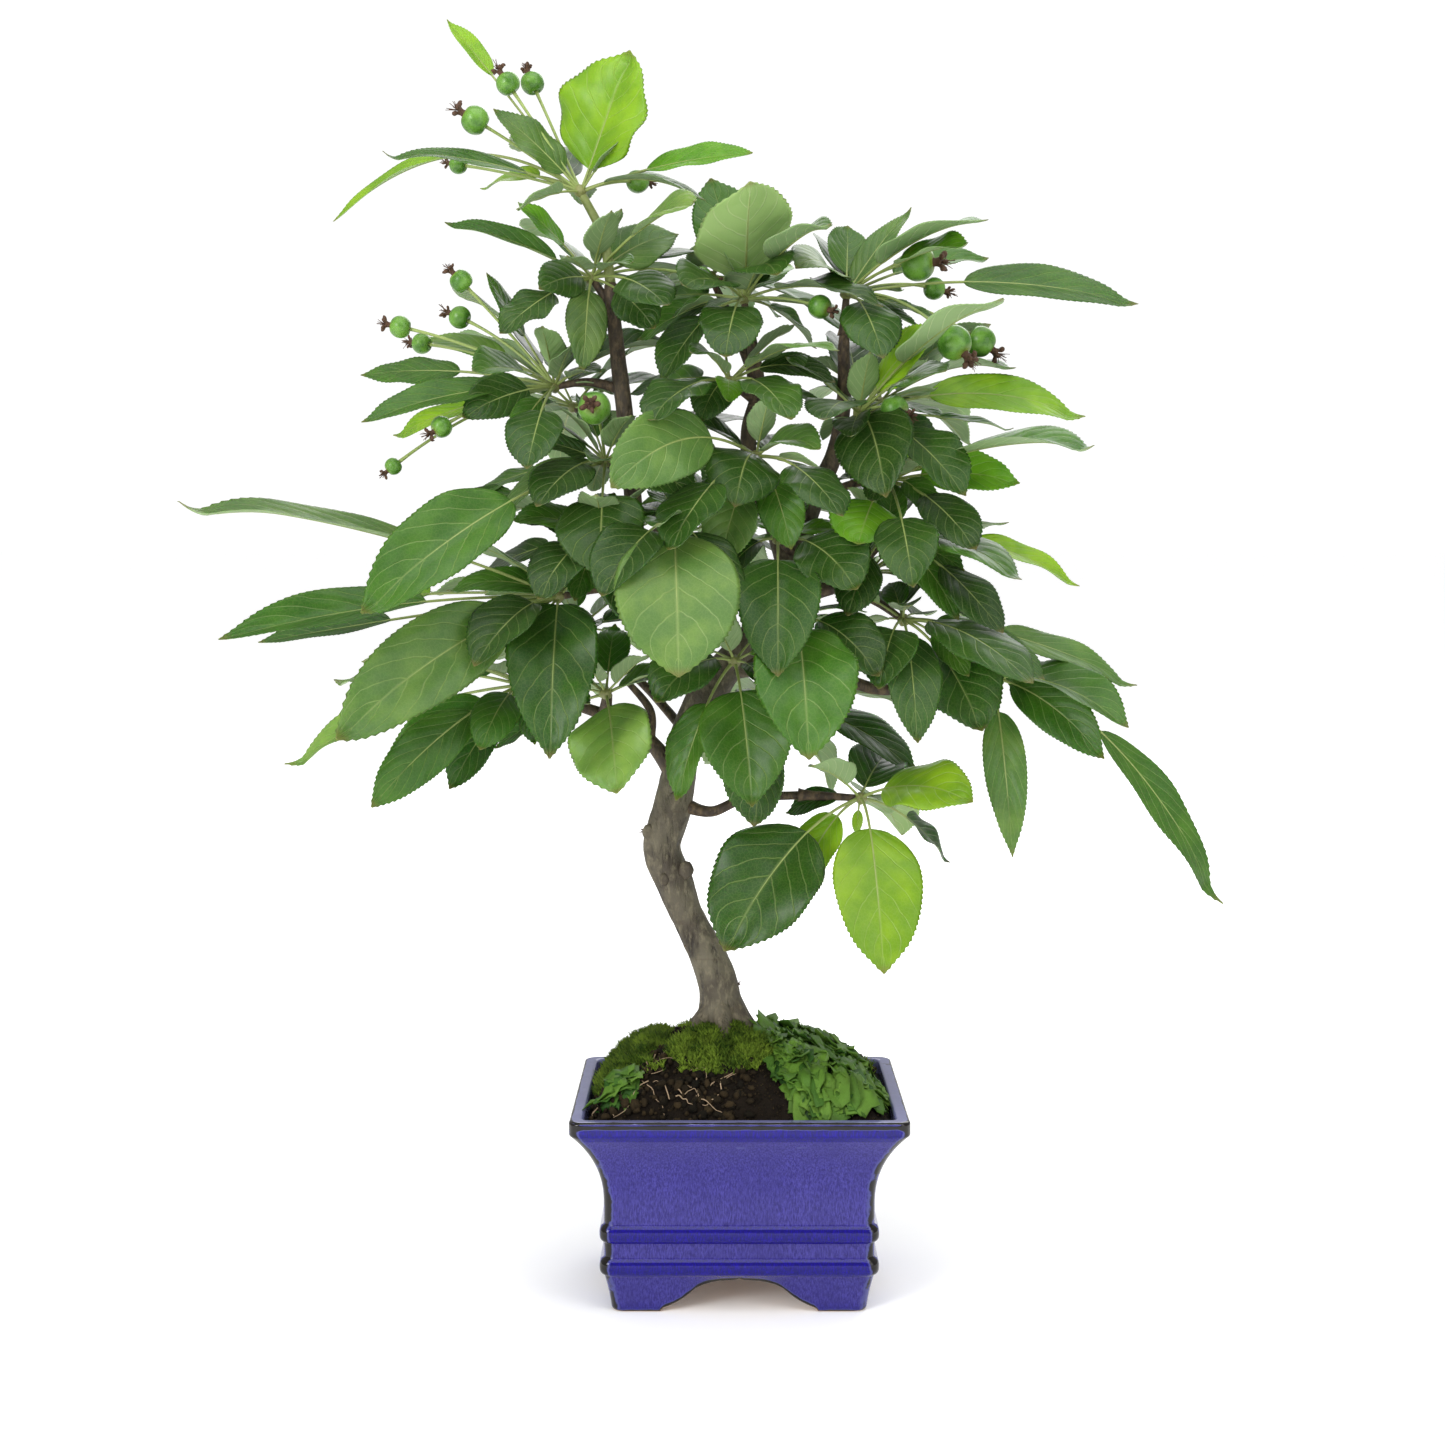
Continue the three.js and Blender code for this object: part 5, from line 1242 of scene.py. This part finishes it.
leafSizes = dict(
    rows=(58, 44, 30),     # by length, over 45, over 29 and below
    fittedLength=29,       # leaves this long stand in the CAD model too
    toothDepth=0.20,       # millimetres, and a share of the width
    toothShare=0.016,
    widen=1.12,            # the CAD outline cuts the blade's round shoulders off
    leastHalf=0.25,
    rootPower=(0.50, 0.66),
    tipPower=(0.72, 0.92),
    foldDegrees=15,
    foldShare=(0.3, 2.0),
    waves=(1.2, 2.6),
    waveHeight=(0.02, 0.07),
    curl=(-0.02, 0.10),
    droop=(0.0, 0.10),
    twist=(-0.28, 0.28),
    across=(-1, -0.93, -0.62, -0.30, 0, 0.30, 0.62, 0.93, 1),
    thickness=0.32,
    stalk=0.72,
    stalkAge=0.2426,
    extraLength=54.0,
    extraWidth=23.0,
    extraReach=64.0,
    rosette=6,             # small leaves round each bud
    sparse=("left_arm_end", "left_arm_upper", "right_end", "low_right", "top"),
    clearance=2.2,
    shiftSteps=(0, 5, 10, 16, 22, 30, 38, 48),
    tones=(colour(36, 66, 14), colour(54, 92, 22), colour(80, 110, 50), colour(82, 130, 20),
           colour(116, 154, 26), colour(104, 134, 60)),
)


# A branch of a parabola from start to tip whose control point is the middle raised by `rise`, read at equal
# lengths: (1 - t)^2 start + 2t(1 - t) control + t^2 tip. Returned with its direction and its length.
def arcRun(start, tip, rise, shares):
    control = (start + tip) / 2 + upward * rise

    def placeAt(t):
        return (1 - t) ** 2 * start + 2 * t * (1 - t) * control + t**2 * tip

    t = np.linspace(0, 1, 140)[:, None]
    run = np.append(0, np.cumsum(np.linalg.norm(np.diff(placeAt(t), axis=0), axis=1)))
    t = np.interp(np.asarray(shares) * run[-1], run, t[:, 0])[:, None]
    return placeAt(t), unit(2 * (1 - t) * (control - start) + 2 * t * (tip - control)), run[-1]


# Where the CAD leaf's tip stands: the first of a fixed list of small shifts that has a corner of the CAD
# node's mesh within a millimetre. None if the CAD has no such leaf.
def fittedTip(tip, cadCorners):
    ways = np.array([(0, 1, 0), (0, -1, 0), (0, 0, -1), (0, 0, 1), (-1, 0, 0), (1, 0, 0), (0, 0.7, -0.7),
                     (0, 0.7, 0.7), (0, -0.7, -0.7), (0, -0.7, 0.7)])
    steps = np.array(leafSizes["shiftSteps"])
    tried = tip + (steps[:, None, None] * ways[None]).reshape(-1, 3)
    gap = np.linalg.norm(tried[:, None] - cadCorners[None], axis=-1).min(1)
    near = np.flatnonzero(gap < 1.0)
    return tried[near[0]] if len(near) else None


# The corners' uv of a blade's faces and of its two ends. The underside is read 4 further across, at 3 to 5.
def bladeMap(u, v):
    unrolled = np.concatenate([v, v[-2::-1] + 4])
    around = 2 * len(v) - 2
    i, j = np.meshgrid(np.arange(len(u) - 1), np.arange(around), indexing="ij")
    left = np.where(j == len(v) - 1, 5.0, unrolled[j])
    right = unrolled[j + 1]
    sides = grid(np.stack([u[i], u[i], u[i + 1], u[i + 1]], -1), np.stack([left, right, right, left], -1))
    ends = np.zeros((2 * around, 4, 2))
    ends[around:, :, 0] = 1.0
    return np.concatenate([sides.reshape(-1, 4, 2), ends])


# A blade on its arc: point(u, v) = arc(u) + side * v h(u) + normal * lift(u, v), u from stalk to tip and v
# from -1 to 1. h = W/2 k u^a (1 - u)^b, with teeth on v = +-1; lift = fold |v| h - curl v^4 + quilting
# between the side veins + a wave along the margin. A second sheet a little below it closes the skin.
def makeBlade(bud, tip, length, width, rise, turn, tone, random):
    s = leafSizes
    fine, middling, plain = s["rows"]
    rows = fine if length > 45 else middling if length > s["fittedLength"] else plain
    u = np.linspace(0.0, 1.0, rows)
    reach = arcRun(bud, tip, rise, [0, 1])[2]
    start = max(1 - length / reach, min(5.7 / reach, 0.5))
    spine, along, reach = arcRun(bud, tip, rise, start + (1 - start) * u)
    bladeLength = reach * (1 - start)
    # the blade's own axes, rolled about its spine
    level = unit((tip - bud) * (1, 1, 0) + (1e-6, 0, 0))
    across = np.cross(level, upward)
    over = np.cross(across, along)
    angle = np.radians(turn * (1 if level[0] >= 0 else -1) + random.uniform(-4, 4))
    normal = over * np.cos(angle) + across * np.sin(angle)
    side = across * np.cos(angle) - over * np.sin(angle)
    # its outline
    a, b = random.uniform(*s["rootPower"]), random.uniform(*s["tipPower"])
    shape = np.clip(u, 0, 1) ** a * np.clip(1 - u, 0, 1) ** b
    shape = shape / (((a / (a + b)) ** a) * ((b / (a + b)) ** b))
    shape = shape * (1 - 0.30 * np.clip((u - 0.80) / 0.20, 0, 1) ** 1.5 * np.clip((1 - u) / 0.05, 0, 1))
    half = np.maximum(width / 2 * shape * s["widen"], s["leastHalf"])
    v = np.array(s["across"])
    toothed = np.arange(rows) % 2
    tooth = (s["toothDepth"] + s["toothShare"] * width / 2) * toothed * np.clip(shape * 2.2, 0, 1)
    edge = np.abs(v) == 1
    plainReach = half[:, None] * v
    reachOut = plainReach + np.where(edge, np.sign(v), 0) * tooth[:, None]
    forward = np.where(edge, toothed[:, None] * bladeLength / rows * 0.55, 0)
    # its relief
    fold = np.tan(np.radians(s["foldDegrees"] * random.uniform(*s["foldShare"])))
    phase = u[:, None] * leafFinish["veins"] - np.abs(v) * leafFinish["veinSlope"] * leafFinish["veins"]
    quilt = np.abs(np.sin(np.pi * phase)) * np.abs(v) * (1.15 - np.abs(v)) * width * 0.018
    waves = random.uniform(*s["waves"])
    starts = random.uniform(0, 6.28, 2)
    wave = np.sin(2 * np.pi * waves * u[:, None] + np.where(v < 0, *starts))
    wave = wave * v**2 * width * random.uniform(*s["waveHeight"]) * shape[:, None]
    curl = random.uniform(*s["curl"]) * width * v**4 * shape[:, None]
    lift = fold * np.abs(plainReach) * 0.85 + quilt + wave - curl
    droop = -random.uniform(*s["droop"]) * bladeLength * np.clip((u - 0.62) / 0.38, 0, 1) ** 2
    droop = droop * np.clip((1 - u) / 0.1, 0, 1)
    twist = (random.uniform(*s["twist"]) * u**1.5)[:, None]
    turned = normal * np.cos(twist) + side * np.sin(twist)
    sideways = side * np.cos(twist) - normal * np.sin(twist)
    centre = spine + normal * droop[:, None]
    top = (centre[:, None] + sideways[:, None] * reachOut[..., None] + turned[:, None] * lift[..., None]
           + along[:, None] * forward[..., None])
    below = top - turned[:, None] * np.where(edge, 0.0, s["thickness"])[None, :, None]
    ring = np.concatenate([top, below[:, -2:0:-1]], 1)
    middle = len(v) // 2
    ends = [spine[:1] - along[:1] * 0.2, top[-1:, middle] + along[-1:] * 0.3]
    points = np.concatenate([ring.reshape(-1, 3), *ends])
    shade = np.array(s["tones"][tone]) * random.uniform(0.80, 1.22) * (1, random.uniform(0.95, 1.06), 1)
    blade = skin(points, ringFaces(rows, ring.shape[1]), tint=shade, uv=bladeMap(u, v))
    # the stalk runs on under the blade as its midrib
    shares = np.append(np.linspace(0.01, start, 14)[:-1], start + (1 - start) * np.linspace(0, 0.86, 22))
    onBlade = np.clip((shares - start) / (1 - start), 0, 1)
    normalThere = grid(*[np.interp(onBlade, u, column) for column in normal.T])
    down = grid(*[np.interp(onBlade, u, column) for column in turned.T])
    midrib = arcRun(bud, tip, rise, shares)[0] + np.interp(onBlade, u, droop)[:, None] * normalThere
    midrib = midrib - down * (s["thickness"] * 0.75) * (onBlade > 0)[:, None]
    radii = s["stalk"] * (1 + 0.5 * np.exp(-shares * reach / 2.5))
    radii = radii * (1 - 0.22 * np.clip(shares / max(start, 0.01), 0, 1))
    radii = radii * (1 - 0.82 * onBlade) * min(1.0, 0.55 + length / 90)
    stalk = tube(midrib, radii, 7, wear=s["stalkAge"], finish=1)
    return [blade, stalk], top[::5, ::2].reshape(-1, 3)


# A spray's leaves on its far side, spread round its aim by a golden angle, each in a leaf's own order
def extraTips(bud, more):
    s = leafSizes
    count, aim, tilt = more
    found = []
    for i in range(count):
        spread = (i * 137.5) % 200 - 100
        size = 1 + 0.16 * np.cos(1.7 * i + bud[0])
        angle = np.radians(aim + (spread if count > 1 else 0))
        out = raisedDirection(angle, np.radians(tilt + 28 * np.sin(2.4 * i)))
        found.append((bud + out * s["extraReach"] * size, s["extraLength"] * size, s["extraWidth"] * size, 14,
                      12 if i % 2 == 0 else -16, None))
    return found


# A bud at the end of a twig: an egg of scales that wind round it, each a small rise of
# 1 + 0.10 cos(3a + 9w) + 0.05 cos(7a - 5w), on a radius of sin(pi w)^0.8
def makeBud(place, aim, radius):
    rows, around = 12, 20
    w = ((np.arange(rows) + 1) / (rows + 1))[:, None]
    a = turnAngles(around)
    scales = 1 + 0.10 * np.cos(3 * a + 9 * w) + 0.05 * np.cos(7 * a - 5 * w)
    path = place + aim * (w - 0.45) * 2.5 * radius
    return tube(path, radius * np.sin(np.pi * w) ** 0.8 * scales, around, wear=0.55, finish=1)


fruitSizes = dict(rows=26, around=30, stalk=0.62, dimple=0.22, eyeDimple=0.12, reach=0.80, sepals=5,
                  threads=9)


# A fruit: around its axis the radius is R sin(w), and along it -R cos(w) drawn in by dimples at both ends.
# Its calyx is a short neck, five dry curled sepals and a tuft of dry threads.
def makeFruit(name, centre, axis, radius, seed):
    s = fruitSizes
    random = np.random.default_rng(seed)
    rows, around = s["rows"], s["around"]
    w = (np.arange(rows) + 0.6) / (rows + 0.2) * np.pi
    dimples = s["dimple"] * np.exp(-(w / 0.42) ** 2) + s["eyeDimple"] * np.exp(-((np.pi - w) / 0.4) ** 2)
    reach = -np.cos(w) * (1 - dimples)
    side = unit(np.cross(np.eye(3)[np.abs(axis).argmin()], axis))
    front = np.cross(axis, side)
    a = turnAngles(around)
    lobes = 1 + 0.022 * np.cos(5 * a) * (w[:, None] / np.pi) + 0.012 * np.cos(2 * a + seed)
    out = side * np.cos(a)[:, None] + front * np.sin(a)[:, None]
    ring = centre + radius * (reach[:, None, None] * axis + (np.sin(w)[:, None] * lobes)[..., None] * out)
    ends = centre + radius * axis * np.array([[reach[0] * 0.99], [reach[-1] * 0.99]])
    flush = np.append(np.repeat(np.clip((w / np.pi - 0.75) * 2, 0, 0.5), around), [0, 0.5])
    skins = [skin(np.concatenate([ring.reshape(-1, 3), ends]), ringFaces(rows, around), wear=flush)]
    t = np.linspace(0, 1, 8)
    neck = centre + axis * (radius * (s["reach"] + t * 0.52))[:, None]
    skins.append(tube(neck, radius * (0.30 - 0.08 * np.sin(np.pi * t) + 0.07 * t**2), 14, finish=1))
    rim = neck[-1]
    t = np.linspace(0, 1, 9)[:, None]
    for angle in turnAngles(s["sepals"]):
        angle = angle + random.uniform(-0.3, 0.3)
        spread = side * np.cos(angle) + front * np.sin(angle)
        size = radius * random.uniform(0.65, 1.05)
        path = rim + spread * (0.22 * radius + size * 0.75 * t - 0.25 * size * t**3)
        path = path + axis * size * (0.55 * t - random.uniform(0.1, 0.7) * t**2)
        path = path + random.uniform(-0.1, 0.1, 3) * size * t**2
        profile = 0.17 * radius * np.sin(np.pi * np.clip(t * 0.82 + 0.16, 0, 1)) + 0.04
        flatness = 0.55 + 0.45 * np.abs(np.cos(turnAngles(8) + angle))
        skins.append(tube(path, profile * flatness, 8, finish=1))
    t = np.linspace(0, 1, 6)[:, None]
    for thread in range(s["threads"]):
        aim = unit(axis + random.uniform(-0.55, 0.55, 3))
        path = rim + aim * t * radius * random.uniform(0.4, 0.95)
        path = path + random.uniform(-0.15, 0.15, 3) * radius * t**2
        skins.append(tube(path, 0.15 * (1 - 0.5 * t[:, 0]) + 0.05, 4, finish=1))
    makePiece(name.replace("fruit_", "crabApple"), skins, [fruitMaterial, calyxMaterial], "fruit_skin", name)


# The corners of a CAD node's mesh, in millimetres
def cadCornersOf(node):
    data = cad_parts[node].data
    flat = np.empty(len(data.vertices) * 3)
    data.vertices.foreach_get("co", flat)
    return flat.reshape(-1, 3) / metresPerMillimetre


# The trunk, its branches, the roots that stand out of the mound, knots, tufts of scales, and the sprays'
# twigs
def makeWood():
    s = woodSizes
    skins = []
    for number, run in enumerate(s["limbs"]):
        thick = run[0][3] > s["thick"]
        around, collar = (s["around"], 0.0) if thick else (s["branchAround"], 0.45)
        skins.append(makeLimb(run, around, number, collar, youth))
    reach, height, radius = np.array(s["rootRun"], float).T
    for angle in s["rootAngles"]:
        a = np.radians(angle) + 0.010 * reach
        run = grid(moundSizes["footX"] + reach * np.cos(a), reach * np.sin(a), height, 2 * radius)
        skins.append(makeLimb(run, s["rootAround"], angle, 0.25, lambda diameter: 0.12 + 0 * diameter))
    for number, knot in enumerate(s["knots"]):
        skins.append(makeKnot(*knot, number))
    for number, tuft in enumerate(s["tufts"]):
        skins += makeTuft(*tuft, 50 + number)
    for spray in spraySizes.values():
        if "twig" in spray:
            run = np.array(spray["twig"] + [spray["bud"]], float)
            share = np.linspace(0, 1, len(run))[:, None]
            run = np.concatenate([run, 4.4 - 1.6 * share], 1)
            skins.append(makeLimb(run, s["twigAround"], run[0, 0], 0.35, youth))
    makePiece("trunkAndBranches", skins, [barkMaterial, calyxMaterial], "bark", "trunk")


# A spray's bud, shoot, leaves and fruit stalks as skins, its fruit as pieces of their own, and the places its
# blades and fruit take up. A leaf with no leaf of the CAD model near its tip is left out.
def makeSpray(name, spray, fruitNumber):
    random = np.random.default_rng(sum(map(ord, name)))
    corners = cadCornersOf("leaves_" + name)
    crest = upward * moundSizes["crest"]
    bud = np.array(spray["bud"], float) + crest
    before = np.array((spray.get("twig") or spray["shoot"])[-1], float) + crest
    skins = [makeBud(bud, unit(bud - before), 2.6)]
    if "shoot" in spray:
        run = np.array([*spray["shoot"], spray["bud"]], float) + crest
        run = smoothRun(np.concatenate([run, [[4.4], [4.0], [3.4]]], 1), 1.2)
        skins.append(tube(run[:, :3], run[:, 3] / 2, 16, wear=0.35, finish=1))
    taken = []
    leaves = [(np.array(row[:3], float) + crest, *row[3:]) for row in spray.get("leaves", ())]
    for tip, length, width, rise, turn, tone in leaves + extraTips(bud, spray["more"]):
        if length >= leafSizes["fittedLength"]:
            tip = fittedTip(tip, corners)
        if tip is None:
            continue
        if tone is None:
            tone = 4 if name == "low_right" else random.choice([0, 0, 1, 1, 2])
        made, room = makeBlade(bud, tip, length, width, rise, turn, tone, random)
        skins += made
        taken.append(room)
    steps = np.arange(34)
    ends = 0.5 * np.exp(-steps / 2) + 0.35 * np.exp((steps - 33) / 2.5)
    for x, y, z, radius, rise in spray.get("fruit", ()):
        centre = np.array([x, y, z], float) + crest
        heading, reach = arcRun(bud, centre, rise, np.linspace(0.01, 1, 30))[1:]
        stop = 1 - fruitSizes["reach"] * radius / reach
        path = arcRun(bud, centre, rise, np.linspace(0.01, stop, 34))[0]
        skins.append(tube(path, fruitSizes["stalk"] * (1 + ends), 8, finish=1, wear=0.1))
        makeFruit(f"fruit_{fruitNumber}", centre, heading[-1], radius, 100 + fruitNumber)
        taken.append(np.repeat(centre + radius * np.concatenate([np.eye(3), -np.eye(3)]), 2, 0))
        fruitNumber += 1
    return skins, taken, fruitNumber


# Small leaves round each bud, 2.4 radians apart, wherever their blades stay clear of every other blade
def makeRosette(bud, taken, count, random):
    found = []
    for number in range(22):
        if len(found) == 2 * count:
            break
        angle = 2.4 * number + bud[0]
        raised = np.radians(random.uniform(-25, 60))
        length = random.uniform(19, 28)
        reach = length + random.uniform(5, 13)
        tip = bud + raisedDirection(angle, raised) * reach
        made, room = makeBlade(bud, tip, length, length * random.uniform(0.46, 0.62), random.uniform(1, 7),
                               random.uniform(-20, 30), random.choice([0, 0, 1, 1, 3]), random)
        gap = np.linalg.norm(taken[:, None] - room[None], axis=-1).min()
        if gap > leafSizes["clearance"]:
            found += made
            taken = np.concatenate([taken, room])
    return found, taken


# A spray's leaves as one piece, in the young leaf's material where they are the year's last
def finishSpray(name, skins):
    young = name == "low_right"
    makePiece("spray" + name.title().replace("_", ""), skins,
              [youngLeafMaterial if young else leafMaterial, stalkMaterial],
              "young_leaf" if young else "leaf", "leaves_" + name)


makeWood()
print("wood made")
nextFruit = 1
sprayParts, bladeRoom = {}, []
for sprayName, spray in spraySizes.items():
    sprayParts[sprayName], room, nextFruit = makeSpray(sprayName, spray, nextFruit)
    bladeRoom += room
print("leaves and fruit placed:", len(bladeRoom))
crestPlace = upward * moundSizes["crest"]
woodRoom = [smoothRun(run, 5)[:, :3] + crestPlace for run in woodSizes["limbs"]]
bladeRoom = np.concatenate(bladeRoom + woodRoom)
for sprayName, spray in spraySizes.items():
    random = np.random.default_rng(sum(map(ord, sprayName)) + 1)
    few = 2 if sprayName in leafSizes["sparse"] else leafSizes["rosette"]
    small, bladeRoom = makeRosette(np.array(spray["bud"], float) + crestPlace, bladeRoom, few, random)
    finishSpray(sprayName, sprayParts[sprayName] + small)
print("sprays made")


stageSizes = dict(floor=40.0, floorSteps=13, skyLight=0.55, skySeen=1.05)
cameraSizes = dict(lens=54.2, sensor=36.0, place=(-0.007, -0.9255, 0.3236), tilt=85.07, far=200)


# A broad plain floor. Its faint glow keeps its far edge as pale as the sky.
def makeFloor():
    reach, count = stageSizes["floor"], stageSizes["floorSteps"]
    x, y = np.meshgrid(*[np.linspace(-reach, reach, count)] * 2, indexing="ij")
    i, j = np.meshgrid(*[np.arange(count - 1)] * 2, indexing="ij")
    near = i * count + j
    faces = grid(near, near + count, near + count + 1, near + 1).reshape(-1, 4)
    mesh = bpy.data.meshes.new("paleFloor")
    mesh.from_pydata(grid(x, y, 0.0).reshape(-1, 3).tolist(), [], faces.tolist())
    floor = bpy.data.objects.new("paleFloor", mesh)
    bpy.context.scene.collection.objects.link(floor)
    material, tree, shader = newMaterial("pale floor")
    tone = mixColour(tree, objectNoise(tree, 3, 3), (0.90, 0.90, 0.90), (0.92, 0.92, 0.92))
    # the floor glows less within a hand of the pot, which leaves its shadow under the arches
    place = addNode(tree, "TexCoord").outputs["Object"]
    far = addNode(tree, "VectorMath", {0: place}, operation="LENGTH").outputs["Value"]
    setShader(tree, shader, {
        "Base Color": tone, "Roughness": 0.8, "Specular IOR Level": 0.2,
        "Emission Color": (1, 1, 1, 1), "Emission Strength": smoothStep(tree, far, 0.07, 0.45, 0.05, 0.5),
    })
    mesh.materials.append(material)


# A rectangular soft light, size in metres and power in watts, aimed at a target
def addLamp(name, place, target, size, power):
    data = bpy.data.lights.new(name, "AREA")
    data.shape = "RECTANGLE"
    data.size, data.size_y = size
    data.energy = power
    lamp = bpy.data.objects.new(name, data)
    lamp.location = place
    toTarget = Vector(target) - Vector(place)
    lamp.rotation_euler = toTarget.to_track_quat("-Z", "Y").to_euler()
    bpy.context.scene.collection.objects.link(lamp)


makeFloor()
addLamp("bigSoftTop", (0.2, -0.5, 1.9), (0, 0, 0.25), (2.0, 2.0), 30)
addLamp("frontLeft", (-1.5, -1.7, 1.1), (0, 0, 0.28), (0.9, 1.3), 24)
addLamp("frontRight", (1.6, -1.5, 0.9), (0, 0, 0.28), (0.9, 1.4), 11)
addLamp("smallKey", (-0.95, -1.25, 0.72), (0, 0, 0.1), (0.28, 0.34), 4.5)
addLamp("backLight", (0.4, 1.7, 1.5), (0, 0, 0.35), (1.8, 1.2), 20)

world = bpy.data.worlds.new("paleSky")
world.use_nodes = True
# seen directly the sky is white, and as a light it is softer
seen = addNode(world.node_tree, "LightPath").outputs["Is Camera Ray"]
strength = addNode(world.node_tree, "MapRange", {
    "Value": seen, "To Min": stageSizes["skyLight"], "To Max": stageSizes["skySeen"]}).outputs[0]
setShader(world.node_tree, world.node_tree.nodes["Background"], {"Color": (1, 1, 1, 1), "Strength": strength})
bpy.context.scene.world = world
bpy.context.scene.view_settings.view_transform = "Standard"

cameraData = bpy.data.cameras.new("camera")
cameraData.lens = cameraSizes["lens"]
cameraData.sensor_width = cameraSizes["sensor"]
cameraData.clip_end = cameraSizes["far"]
camera = bpy.data.objects.new("camera", cameraData)
camera.location = cameraSizes["place"]
camera.rotation_euler = (np.radians(cameraSizes["tilt"]), 0, 0)
bpy.context.scene.collection.objects.link(camera)
bpy.context.scene.camera = camera
print("stage set")
